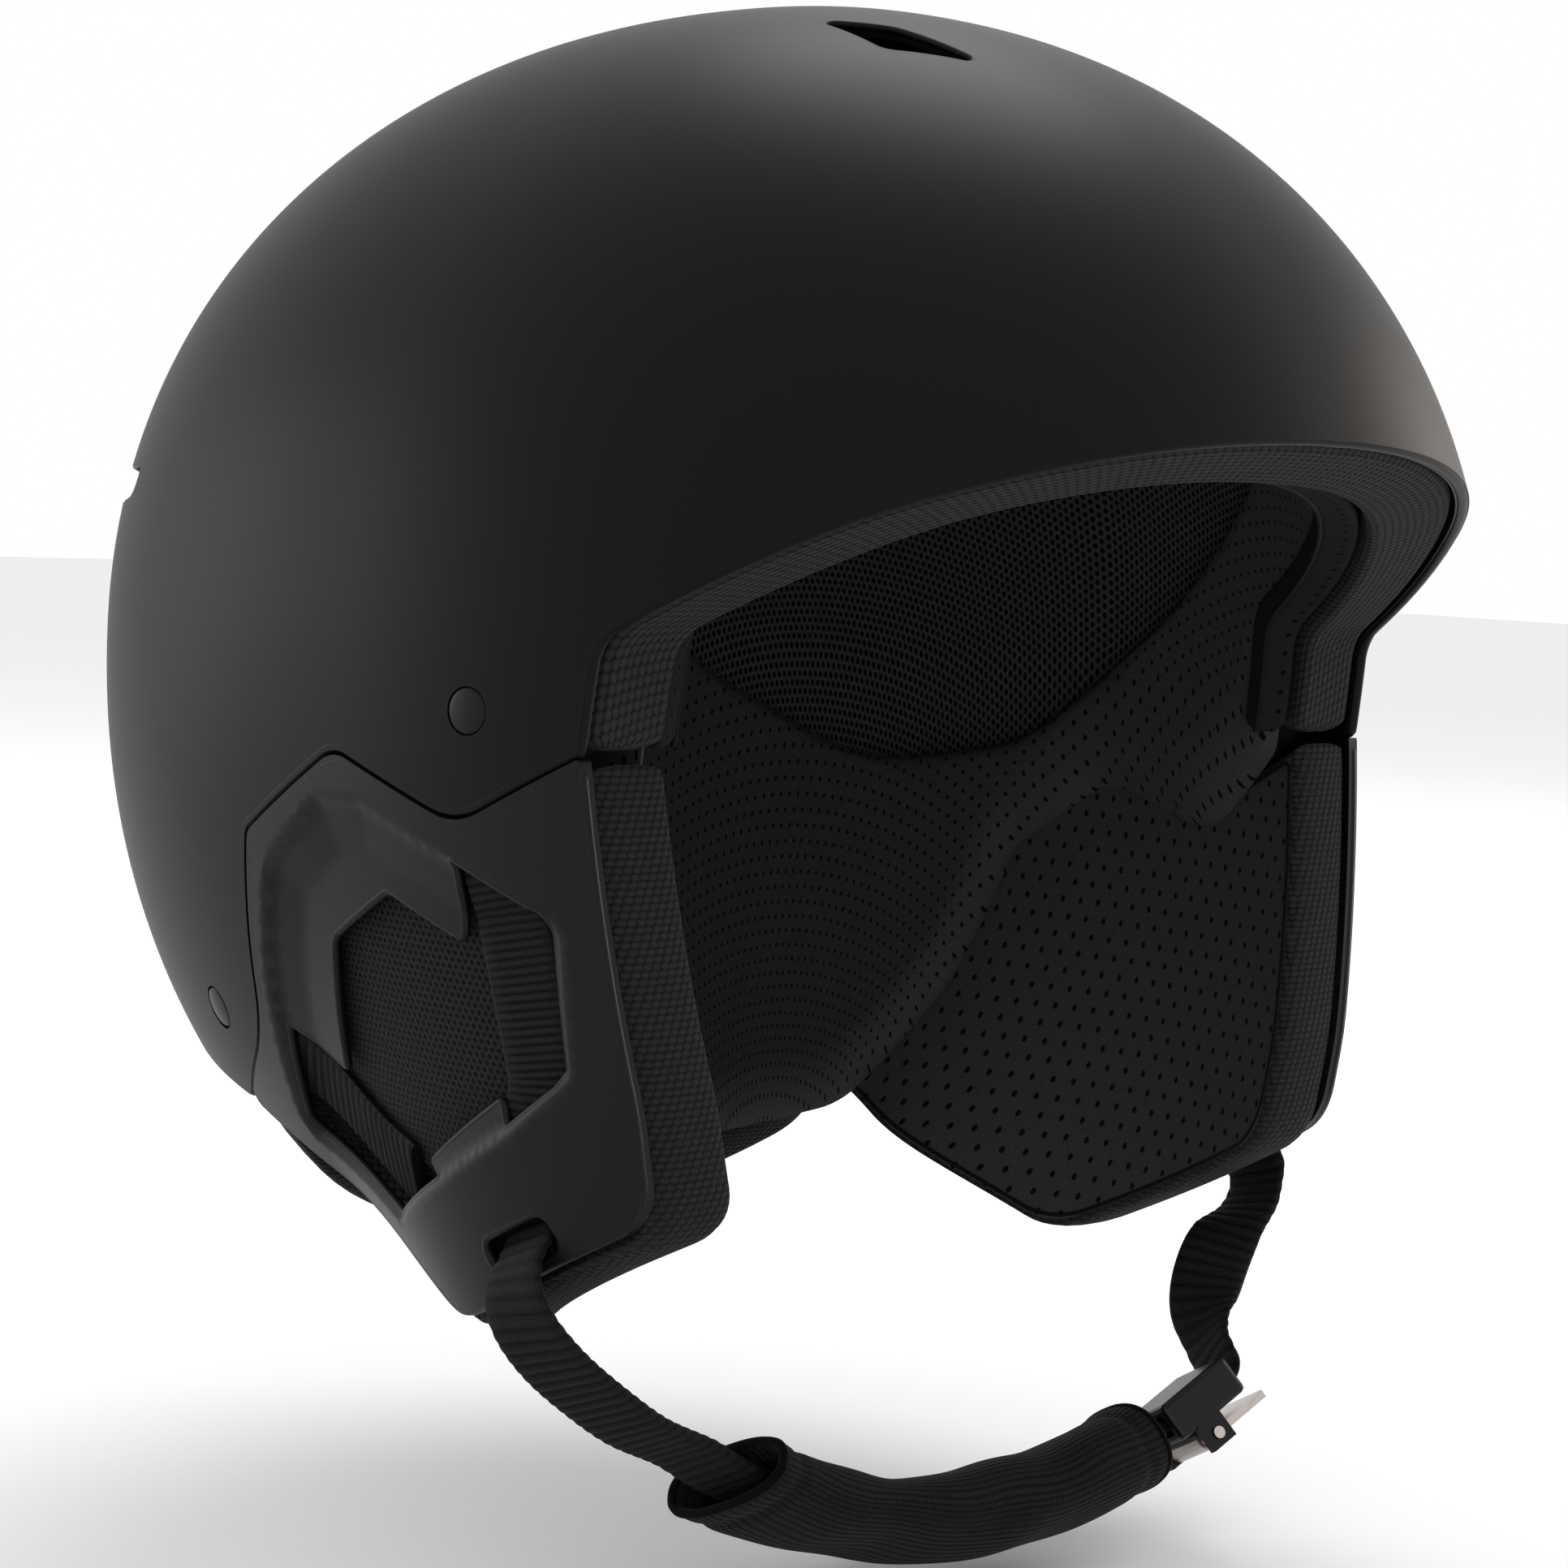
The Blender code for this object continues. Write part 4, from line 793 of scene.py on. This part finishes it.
def swept(name, grid, along, around, label, sharp):
    """Closed piece through rows of points, with a cap at each end."""
    body = new_body()
    rows = [[body.verts.new(point) for point in row] for row in grid]
    skin(body, rows, along, around)
    body.faces.new(rows[0])
    body.faces.new(rows[-1])
    return finish(name, body, [label], sharp)


def two_sided(name, flat, faces, to_space, depths, materials, pick=None, sharp=38):
    """Closed body between two depths over a flat patch; pick gives a material index per inner face."""
    body = new_body()
    layer = body.loops.layers.uv["flat"]
    top, bottom = [[body.verts.new(p) for p in to_space(flat, depth)] for depth in depths]
    edges = {(int(face[i]), int(face[(i + 1) % 3])) for face in faces for i in range(3)}

    def add(corners, indices, slot=0):
        made = body.faces.new(corners)
        made.material_index = slot
        for loop, index in zip(made.loops, indices):
            loop[layer].uv = flat[index]

    for number, face in enumerate(faces):
        a, b, c = (int(i) for i in face)
        add((top[a], top[b], top[c]), (a, b, c))
        add((bottom[c], bottom[b], bottom[a]), (c, b, a), 0 if pick is None else int(pick[number]))
    for a, b in sorted(edges):
        if (b, a) not in edges:
            add((top[b], top[a], bottom[a], bottom[b]), (b, a, a, b))
    bmesh.ops.remove_doubles(body, verts=body.verts, dist=1e-6)
    return finish(name, body, materials, sharp)


def bead(name, points, radius, label, slot, sides=2, closed=True, body="helmet"):
    """Round bead along a line, riding on a body."""
    curve = bpy.data.curves.new(name, "CURVE")
    curve.dimensions = "3D"
    curve.bevel_depth = radius
    curve.bevel_resolution = sides
    curve.use_fill_caps = True
    spline = curve.splines.new("POLY")
    spline.points.add(len(points) - 1)
    for control, point in zip(spline.points, points):
        control.co = (*point, 1.0)
    spline.use_cyclic_u = closed
    curve.materials.append(MATERIALS[label])
    source = linked(name, curve)
    bpy.context.view_layer.update()
    evaluated = source.evaluated_get(bpy.context.evaluated_depsgraph_get())
    mesh = bpy.data.meshes.new_from_object(evaluated)
    bpy.data.objects.remove(source, do_unlink=True)
    mesh.shade_smooth()
    settle(linked(name, mesh), slot, body=body)


def settle(piece, slot, *nodes, body="helmet", fill=None):
    """Stands for its CAD nodes, which it hides, and rides on a body; slot is not used, and fill is not
    used.
    """
    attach(piece, body)
    if nodes:
        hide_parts(*nodes)


def bulge(away, radius, power=2.6):
    """Share of a pad's half thickness at a distance from its edge: a full, rounded edge."""
    t = np.clip(away / radius, 0, 1)
    return (1 - (1 - t) ** power) ** (1 / power)


def pillow(name, loop, to_space, depths, radius, hollow, materials):
    """Padded patch whose two faces meet in a rounded edge; its inner face has its own fabric."""
    flat, faces = triangulate(loop, spacing=2.6 * MM, rims=PILLOW_RIMS)
    away = distance(flat, loop)
    middle = (depths[0] + depths[1]) / 2
    swell = (depths[1] - depths[0]) / 2 * bulge(away, radius)
    outer = middle - swell + np.clip((away - 2.2 * MM) / (4 * MM), 0, 1) * hollow
    pick = (away[faces].mean(1) > radius * 0.8).astype(int)
    return two_sided(name, flat, faces, to_space, (outer, middle + swell), materials, pick, 60)


# ---- shell

def vent_loops():
    loops = []
    for side in SIDES:
        top = outline(TOP_VENT)
        rear = outline(REAR_VENT)
        loops.append(unroll_plan(side * top[:, 0], top[:, 1]))
        loops.append(unroll_back(side * rear[:, 0], rear[:, 1]))
    return loops


def rivet_loop(side, name, radius):
    """Circle on the shell round a rivet, in flat coordinates."""
    y, z = RIVETS[name]
    angles = np.linspace(0, 2 * math.pi, 36, endpoint=False)
    flat = unroll(y * MM + radius * np.cos(angles), z * MM + radius * np.sin(angles), 0.0)
    return flat * (side, 1)


def outer_shell():
    """Hard shell with a rolled lip round its edge and a soft edge round each vent."""
    edge = round_loop(offset_corners(RIM + SEAM + HEM, SHELL_INSET), 0.0, 1.1 * MM)
    vents = vent_loops()
    radius = RIVET_RADIUS + RIVET_GAP
    plugs = [rivet_loop(side, name, radius) for side in SIDES for name in RIVETS]
    flat, faces = triangulate(edge, vents + plugs, spacing=2.6 * MM)
    shell = two_sided("shell_body", flat, faces, disc_point, (0.0, SHELL_THICK), ["shell"])
    settle(shell, "shell_abs", "outer_shell")
    lip = round_loop(offset_corners(RIM + SEAM + HEM, LIP_INSET), LIP_RADIUS, 1.3 * MM)
    line = disc_point(lip, LIP_RADIUS - 0.05 * MM)
    bead("shell_lip", line, LIP_RADIUS, "shell", "shell_abs", 3)
    for number, loop in enumerate(vents):
        line = disc_point(loop, 0.65 * MM)
        bead(f"vent_rim_{number + 1}", line, 0.7 * MM, "shell", "shell_abs")


def rivet(side, name):
    """Shallow domed plug with a rounded edge, flush in the shell."""
    flat = np.array([RIVETS[name]]) * MM
    place = partial(side_point, side=side)
    normal = Vector(normals_of(place, flat, 0.0)[0])
    turn = Vector((0, 0, 1)).rotation_difference(normal).to_matrix().to_4x4()
    placed = Matrix.Translation(place(flat, 0.0)[0]) @ turn
    angles = [2 * math.pi * k / RIVET_SIDES for k in range(RIVET_SIDES)]
    grid = []
    for radius, height in RIVET_PROFILE:
        ring = [Vector((radius * math.cos(a), radius * math.sin(a), height)) * MM for a in angles]
        grid.append([placed @ point for point in ring])
    label = f"{name}_plug_{SIDES[side]}"
    piece = swept(label, grid, [0.0] * len(grid), [0.0] * (RIVET_SIDES + 1), "cover", 45)
    settle(piece, "buckle_plastic", f"{name}_rivet_{SIDES[side]}")


# ---- ear assemblies

def slot_loop():
    """Rounded slot outline in the side view."""
    turn = Matrix.Rotation(SLOT_SLOPE, 2)
    points = []
    for a, b in ((-1, -1), (1, -1), (1, 1), (-1, 1)):
        placed = turn @ Vector((a * SLOT_LENGTH / 2, b * SLOT_HEIGHT / 2)) + Vector(SLOT)
        points.append((placed.x / MM, placed.y / MM, 3.0))
    return outline(points, 0.6 * MM)


def recess_depth(flat, recess):
    """How far the funnel round the window lies under the dome: a bevelled lip, then a gentle slope."""
    away = distance(flat, recess) * inside(flat, recess)
    lip = np.clip(away / RECESS_LIP, 0, 1)
    slope = np.clip((away - RECESS_LIP) / RECESS_RAMP, 0, 1)
    return RECESS_LIP_DEPTH * lip + RECESS_SLOPE_DEPTH * slope


def ear_cover(side):
    """Hard cover with a funnel-shaped recess, an open window and the strap's slot."""
    place = partial(side_point, side=side)
    name = SIDES[side]
    edge = outline(FLAP_FRONT + SEAM[::-1], EDGE_STEP, COVER_INSET)
    window, slot, recess = outline(WINDOW), slot_loop(), outline(RECESS, EDGE_STEP)
    lip = outline(RECESS, EDGE_STEP, RECESS_LIP / MM)
    lip = lip[~inside(lip, window) & (distance(lip, window) > 0.8 * MM)]
    flat, faces = triangulate(edge, [window, slot], [recess], 1.5 * MM, loose=[lip])
    sunk = recess_depth(flat, recess)
    depths = (sunk, np.maximum(SHELL_THICK, sunk + COVER_LEAST))
    cover = two_sided(f"ear_cover_body_{name}", flat, faces, place, depths, ["cover"], sharp=50)
    settle(cover, "shell_abs", f"ear_cover_{name}")
    lip = outline(FLAP_FRONT + SEAM[::-1], 1.1 * MM, LIP_INSET)
    beads = [("ear_cover_lip", lip, LIP_RADIUS - 0.06 * MM, LIP_RADIUS),
             ("window_rim", window, recess_depth(window, recess) + 0.75 * MM, 0.85 * MM),
             ("slot_rim", slot, 0.8 * MM, 0.9 * MM)]
    for label, line, depth, radius in beads:
        bead(f"{label}_{name}", place(line, depth), radius, "cover", "shell_abs", 3)


def ear_mesh(side):
    """Knit mesh behind the cover's window."""
    flat, faces = triangulate(outline(EAR_MESH, 2.0 * MM), spacing=3.0 * MM)
    place = partial(side_point, side=side)
    name = SIDES[side]
    piece = two_sided(f"window_mesh_{name}", flat, faces, place, EAR_MESH_DEPTH, ["ear_mesh"])
    settle(piece, "mesh", f"ear_mesh_{name}")


def ear_pad(side):
    """Padding with a knit gusset round a lined inner face."""
    place = partial(side_point, side=side)
    name = SIDES[side]
    loop = outline(PAD_FRONT + PAD_REAR, PAD_STEP)
    fabrics = ["gusset", "side_lining"]
    pad = pillow(f"ear_padding_{name}", loop, place, PAD_DEPTH, 2.6 * MM, 4.4 * MM, fabrics)
    settle(pad, "knit", f"ear_pad_{name}", fill=0.7)
    seam = place(outline(PAD_FRONT + PAD_REAR, PAD_STEP, PIPING_INSET), PAD_DEPTH[1] - 0.1 * MM)
    bead(f"ear_piping_{name}", seam, 0.45 * MM, "edge_tape", "knit")


# ---- ribbons

def catmull_rom(points, steps):
    """Smooth points through control points."""
    points = [np.array(p, float) for p in points]
    ends = [points[0] * 2 - points[1], *points, points[-1] * 2 - points[-2]]
    smooth = []
    for a, b, c, d in zip(ends, ends[1:], ends[2:], ends[3:]):
        for k in range(steps):
            t = k / steps
            smooth.append(0.5 * (2 * b + (c - a) * t + (2 * a - 5 * b + 4 * c - d) * t ** 2
                                 + (3 * b - a - 3 * c + d) * t ** 3))
    smooth.append(points[-1])
    return np.array(smooth)


def ribbon(name, points, across, width, thick, rib, rib_height, label, steps_per_rib):
    """Flat tape with raised ribs across it, as one closed mesh."""
    lengths = run_along(points)
    at = np.linspace(0, lengths[-1], int(lengths[-1] / (rib / steps_per_rib)) + 1)
    place = picked(points, lengths, at)
    wide = picked(across, lengths, at)
    tangent = unit(np.gradient(place, axis=0))
    wide = unit(wide - tangent * (wide * tangent).sum(1)[:, None])
    up = np.cross(tangent, wide)
    upper = [(s, math.sqrt(1 - abs(s) ** 8)) for s in RIBBON_SPOTS]
    section = upper + [(s, -p) for s, p in upper[-2:0:-1]]
    swell = thick / 2 + rib_height * (np.abs(np.sin(math.pi * at / rib)) - 1)
    grid = [[place[i] + wide[i] * s * width / 2 + up[i] * p * swell[i] for s, p in section]
            for i in range(len(at))]
    around = [s * width / 2 for s, _ in section + section[:1]]
    return swept(name, grid, at, around, label, 55)


def side_web(side, name, line, rib, rib_height):
    """Web of the harness: under the cover, and a little deeper where the window shows it."""
    place = partial(side_point, side=side)
    flat = catmull_rom(np.array(line) * MM, 12)
    window = outline(WINDOW, EDGE_STEP)
    near = distance(flat, window) * inside(flat, window)
    points = place(flat, WEB_DEPTH + np.clip(near / (4 * MM), 0, 1) * WEB_SAG)
    across = unit(np.cross(normals_of(place, flat, WEB_DEPTH), np.gradient(points, axis=0)))
    label = f"{name}_harness_{SIDES[side]}"
    piece = ribbon(label, points, across, WEB_WIDTH, WEB_THICK, rib, rib_height, name, 8)
    settle(piece, "webbing", f"{name}_web_{SIDES[side]}")


def arc_frame(angle_deg, radius=ARC_RADIUS):
    """Place on the strap's arc, and the directions along it, across it and outwards."""
    angle = math.radians(angle_deg)
    forward = np.array((math.sin(ARC_YAW), -math.cos(ARC_YAW), 0.0))
    floor = np.cross(forward, (0, 0, -1))
    upward = np.array((0.0, 0.0, 1.0))
    outward = floor * math.sin(angle) - upward * math.cos(angle)
    tangent = floor * math.cos(angle) + upward * math.sin(angle)
    across = forward * math.cos(STRAP_TILT) - outward * math.sin(STRAP_TILT)
    normal = outward * math.cos(STRAP_TILT) + forward * math.sin(STRAP_TILT)
    return ARC_CENTRE + outward * radius, tangent, across, normal


def chin_web(name, controls, tail, turn_end, twists, node):
    """One side of the chin strap, from inside the cover, through the slot and down to its end."""
    points = [np.array(p) * MM for p in controls] + [t[0] for t in tail]
    steps = 10
    smooth = catmull_rom(points, steps)
    across = []
    for i in range(len(smooth)):
        span = i / steps
        final = tail[min(len(tail) - 1, max(0, round(span) - len(controls)))][2]
        widths = [SLOT_WIDTH_AXIS, *twists, final]
        turned = min(1.0, max(0.0, (span - TURN_START) / (turn_end - TURN_START)))
        place = turned * (len(widths) - 1)
        low = min(int(place), len(widths) - 2)
        t = place - low
        ease = t * t * (3 - 2 * t)
        across.append(widths[low] * (1 - ease) + widths[low + 1] * ease)
    piece = ribbon(name, smooth, np.array(across), CHIN_WEB_WIDTH, CHIN_WEB_THICK, CHIN_RIB,
                   0.4 * MM, "webbing", 10)
    settle(piece, "webbing", node, body="chin_strap")


def chin_straps():
    right = [arc_frame(a) for a in np.linspace(*RIGHT_ARC, 7)]
    turn_end = len(RIGHT_WEB) - TURN_MARGIN
    chin_web("chin_web_right", RIGHT_WEB, right, turn_end, [], "chin_strap_right")
    place, tangent, across, normal = arc_frame(BUCKLE_ANGLE)
    left = [(place + tangent * along * MM + normal * out * MM, tangent, across)
            for along, out in BUCKLE_ENTRY]
    turn_end = len(LEFT_WEB) + 1 - TURN_MARGIN
    chin_web("chin_web_left", LEFT_WEB, left, turn_end, [LEFT_TWIST_AXIS], "chin_strap_left")


def sleeve_ring(share, inset):
    """Loop of the sleeve's oval section: pinched by its hems, fuller towards the buckle."""
    place, _, across, normal = arc_frame(PAD_ARC[0] + (PAD_ARC[1] - PAD_ARC[0]) * share)
    from_end = min(share, 1 - share) * SLEEVE_LENGTH
    hem = math.exp(-(from_end / (4.0 * MM)) ** 2)
    pinch = math.exp(-((from_end - 5.0 * MM) / (1.4 * MM)) ** 2)
    wave = 0.45 * math.sin(share * 15.0) + 0.3 * math.sin(share * 31.0 + 1.0)
    full = 0.5 - 0.5 * math.cos(math.pi * min(1.0, max(0.0, (share - 0.3) / 0.4)))
    wide = (0.4 * wave - 0.6 + 1.6 * full) * (1 - hem) - 0.4 * pinch
    thick = 0.4 * wave + 0.4 + 2.4 * full - 0.6 * pinch
    angles = 2 * math.pi * np.arange(SLEEVE_SIDES) / SLEEVE_SIDES
    lump = 1 + 0.02 * np.sin(3 * angles + share * 18) * (1 - hem)
    a = (PAD_WIDTH / 2 + wide * MM - inset) * signed_power(np.cos(angles), 0.85) * lump
    b = (PAD_THICK / 2 + thick * MM - inset) * signed_power(np.sin(angles), 0.8) * lump
    return place + across * a[:, None] + normal * b[:, None]


def chin_sleeve():
    """Padded knit sleeve: an oval tube with soft waves, hemmed at both ends."""
    body = new_body()
    shares = np.arange(SLEEVE_ROWS + 1) / SLEEVE_ROWS
    girth = math.pi * (PAD_WIDTH + PAD_THICK) / 2
    around = np.arange(SLEEVE_SIDES + 1) / SLEEVE_SIDES * girth
    walls = []
    for inset in (0.0, SLEEVE_WALL):
        walls.append([[body.verts.new(p) for p in sleeve_ring(share, inset)] for share in shares])
        skin(body, walls[-1], shares * SLEEVE_LENGTH, around)
    outer, inner = walls
    for i in (0, SLEEVE_ROWS):
        for k in range(SLEEVE_SIDES):
            j = (k + 1) % SLEEVE_SIDES
            body.faces.new((outer[i][k], outer[i][j], inner[i][j], inner[i][k]))
    piece = finish("chin_sleeve", body, ["sleeve"], 60)
    settle(piece, "knit", "chin_pad", body="sleeve", fill=0.6)
    for share, label in ((0.0, "a"), (1.0, "b")):
        hem = sleeve_ring(share, 0.6 * MM)
        bead(f"sleeve_hem_{label}", hem, 0.9 * MM, "sleeve", "knit", body="sleeve")


# ---- brow and linings

def rim_layer(inset, depth):
    """Even points along the rim from the centre line to the left temple, in one layer of the dome."""
    line = offset_corners(RIM + SEAM + HEM, inset)[: len(RIM)]
    line[-1] = (line[-1][0], BAND_END, 0)
    chain = side_chain(line, depth, closed=False)
    flat = centre_line(unroll(chain[:, 0], chain[:, 1], depth), (0,))
    points = disc_point(flat, depth)
    lengths = run_along(points)
    return picked(points, lengths, np.linspace(0, lengths[-1], BAND_STATIONS)), lengths[-1]


def band(name, inset, slant, depths, reach, radius, label):
    """Padded band along the brow: a rounded section swept along the rim, flat in the side view."""
    thick, high = (depths[1] - depths[0]) / MM, reach / MM
    corners = [(0, 0, radius), (thick, 0, radius), (thick, high, radius), (0, high, radius)]
    section = outline(corners)
    columns = []
    for deep, up in section:
        half, length = rim_layer(inset + (up + slant * deep) / MM, depths[0] + deep)
        columns.append(both_sides(half))
    grid = np.stack(columns, axis=1)
    middle = grid.mean(axis=1, keepdims=True)
    number = np.arange(len(grid))
    step = length / BAND_STATIONS
    from_end = np.minimum(number, number[::-1]) * step
    shrink = 1 - 0.55 * np.clip(1 - from_end / (3.0 * MM), 0, 1) ** 2.2
    grid = middle + (grid - middle) * shrink[:, None, None]
    girth = run_along(section)
    return swept(name, grid, number * step, [*girth, girth[-1] + FINE_STEP], label, 50)


def brow():
    """Knit trim round the front rim, the pad behind it, and the binding of the pad's inner edge."""
    trim = band("brow_trim_band", TRIM_INSET, 0.0, TRIM_DEPTH, TRIM_BAND, 2.2, "trim")
    settle(trim, "knit", "brow_trim", fill=0.8)
    pad = band("brow_pad_band", BROW_INSET, BROW_SLANT, BROW_DEPTH, BROW_REACH, 1.4, "strip")
    settle(pad, "lining", "brow_pad", fill=0.6)
    deep = (BROW_DEPTH[1] - BROW_DEPTH[0]) / MM
    half, _ = rim_layer(BROW_INSET + BROW_SLANT * deep + 0.3, BROW_DEPTH[1] - 0.3 * MM)
    bead("brow_binding", both_sides(half), 0.5 * MM, "edge_tape", "lining", closed=False)


def linings():
    """Lining round the head, thinner towards its low edge, with the mesh panel in its opening."""
    middle = sum(LINER_DEPTH) / 2
    edge = round_loop(LINER, middle, 1.5 * MM)
    crown = round_loop(CROWN_OPENING, middle, 1.5 * MM)
    flat, faces = triangulate(edge, [crown], spacing=2.8 * MM, rims=PILLOW_RIMS)
    low = np.clip((15 * MM - disc_point(flat, middle)[:, 2]) / (20 * MM), 0, 1)
    radius = LINER_EDGE + (LINER_TAPER - LINER_EDGE) * low
    share = bulge(distance(flat, edge), radius, 1.9)
    share = np.minimum(share, bulge(distance(flat, crown), LINER_EDGE))
    thick = LINER_DEPTH[1] - LINER_DEPTH[0] - 0.4 * MM
    outer = LINER_DEPTH[0] + 0.2 * MM * (1 - share)
    inner = LINER_DEPTH[0] + 0.4 * MM + thick * share
    liner = two_sided("comfort_lining", flat, faces, disc_point, (outer, inner), ["lining"], sharp=60)
    settle(liner, "lining", "comfort_liner", fill=0.5)
    flat, faces = triangulate(round_loop(offset_corners(CROWN_OPENING, -3.0), middle, 1.5 * MM),
                              spacing=3.2 * MM)
    panel = two_sided("crown_mesh_panel", flat, faces, disc_point, MESH_DEPTH, ["crown_mesh"])
    settle(panel, "mesh", "crown_mesh")


def nape():
    """Soft roll under the shell's hem, all round the back.

    It lies behind the crown's pole, so it is laid out by its two angles instead of as a patch.
    """
    middle = sum(NAPE_DEPTH) / 2
    half = (NAPE_DEPTH[1] - NAPE_DEPTH[0]) / 2
    chain = side_chain(NAPE, middle)
    flat = centre_line(unroll(chain[:, 0], chain[:, 1], middle), (0, -1))
    start, lower, upper = round_angles(flat)
    number = np.arange(NAPE_COLUMNS + 1)
    share = np.minimum(number, NAPE_COLUMNS - number) / NAPE_COLUMNS
    turn = 2 * math.pi * np.arange(NAPE_SIDES) / NAPE_SIDES
    up = signed_power(np.sin(turn), 0.6)
    deep = signed_power(np.cos(turn), 0.45)
    grid = []
    for k, bottom, top in zip(number, np.interp(share, *lower), np.interp(share, *upper)):
        phi = start + (2 * math.pi - 2 * start) * k / NAPE_COLUMNS
        theta = (top + bottom) / 2 - (bottom - top) / 2 * up
        grid.append(disc_point(on_disc(theta, phi), middle - half * deep))
    around = np.arange(NAPE_SIDES + 1) * 2.4 * MM
    piece = swept("nape_roll", grid, number * 2.2 * MM, around, "nape", 60)
    settle(piece, "knit", "nape_pad", fill=0.6)


def round_angles(flat):
    """Start angle of a strip round the back, and its bottom and top angle along it."""
    theta, phi = polar(flat)
    start = phi.min()
    share = (phi - start) / (math.pi - start) * 0.5
    split = int(np.argmin(phi))
    parts = [(theta[:split + 1], share[:split + 1]), (theta[split:], share[split:])]
    upper, lower = sorted(parts, key=lambda part: part[0].mean())

    def ordered(part):
        order = np.argsort(part[1])
        return part[1][order], part[0][order]

    return start, ordered(lower), ordered(upper)


# ---- carried-over nodes

CARRIED = {
    "foam_liner": "foam", "crown_pad": "side_lining", "buckle_base": "small", "buckle_lever": "steel",
    "buckle_tongue": "small", "lever_pin": "steel", "lever_spring": "steel", "tongue_web": "webbing",
    "goggle_keeper_base": "small", "goggle_keeper_loop": "webbing", "keeper_snap_stud": "small",
    "keeper_snap_cap": "small",
}


def dress_nodes():
    """Puts a node material on every CAD node that stays in sight; the lining's dots get the knit."""
    for name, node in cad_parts.items():
        if node.hide_render:
            continue
        mesh = node.data
        mesh.materials.clear()
        mesh.materials.append(MATERIALS[CARRIED.get(name, "nape")])
        if not mesh.uv_layers.get("flat"):
            layer = mesh.uv_layers.new(name="flat")
            for loop in mesh.loops:
                place = mesh.vertices[loop.vertex_index].co
                layer.data[loop.index].uv = (place.z, place.x)


# ---- stage

# Name, place, size, power and colour of each lamp; all of them point at the helmet.
LAMPS = [("key", (0.7, 0.5, 1.5), 1.1, 12.0, (1.0, 1.0, 1.0)),
         ("side", (-1.0, 1.5, 0.1), 1.3, 11.0, (0.88, 0.92, 1.0)),
         ("warm", (1.7, -0.3, 0.3), 0.9, 8.0, (1.0, 0.87, 0.76)),
         ("low", (-0.9, -1.2, -0.05), 0.7, 2.0, (1.0, 0.97, 0.93))]
CAMERA_PLACE = Vector((-484.73, -477.03, 32.83)) * MM
CAMERA_RIGHT = Vector((0.7054, -0.7075, 0.0428))
CAMERA_UP = Vector((0.0266, 0.0868, 0.9959))


def studio():
    """Pale floor, white surroundings and four soft lamps."""
    scene = bpy.context.scene
    scene.view_settings.view_transform = "Standard"
    bpy.ops.mesh.primitive_plane_add(size=12.0, location=(0, 0, cad_box[0].z - 4 * MM))
    floor = bpy.context.object
    floor.name = "floor"
    paper = Graph("pale_floor", 0.9)
    paper.colours(paper.noise(2.0), (0.83, 0.83, 0.835), (0.86, 0.86, 0.865))
    floor.data.materials.append(paper.material)

    world = bpy.data.worlds.new("studio")
    scene.world = world
    world.use_nodes = True
    background = world.node_tree.nodes["Background"]
    background.inputs["Color"].default_value = (1.0, 1.0, 1.0, 1.0)
    background.inputs["Strength"].default_value = 1.0

    for name, place, size, power, colour in LAMPS:
        data = bpy.data.lights.new(name, "AREA")
        data.shape = "DISK"
        data.size = size
        data.energy = power
        data.color = colour
        lamp = linked(name, data)
        lamp.location = place
        lamp.rotation_mode = "QUATERNION"
        lamp.rotation_quaternion = (-Vector(place)).to_track_quat("-Z", "Y")


def camera():
    data = bpy.data.cameras.new("camera")
    data.sensor_width = 36.0
    data.lens = 82.54
    data.clip_start = 0.01
    data.clip_end = 50.0
    piece = linked("camera", data)
    axes = (CAMERA_RIGHT, CAMERA_UP, CAMERA_RIGHT.cross(CAMERA_UP))
    piece.matrix_world = Matrix.Translation(CAMERA_PLACE) @ Matrix(axes).transposed().to_4x4()
    bpy.context.scene.camera = piece


outer_shell()
brow()
linings()
nape()
for side in SIDES:
    ear_cover(side)
    ear_mesh(side)
    ear_pad(side)
    side_web(side, "front", FRONT_WEB, FRONT_RIB, 0.5 * MM)
    side_web(side, "rear", REAR_WEB, REAR_RIB, 0.65 * MM)
    for rivet_name in RIVETS:
        rivet(side, rivet_name)
chin_straps()
chin_sleeve()
dress_nodes()
studio()
camera()
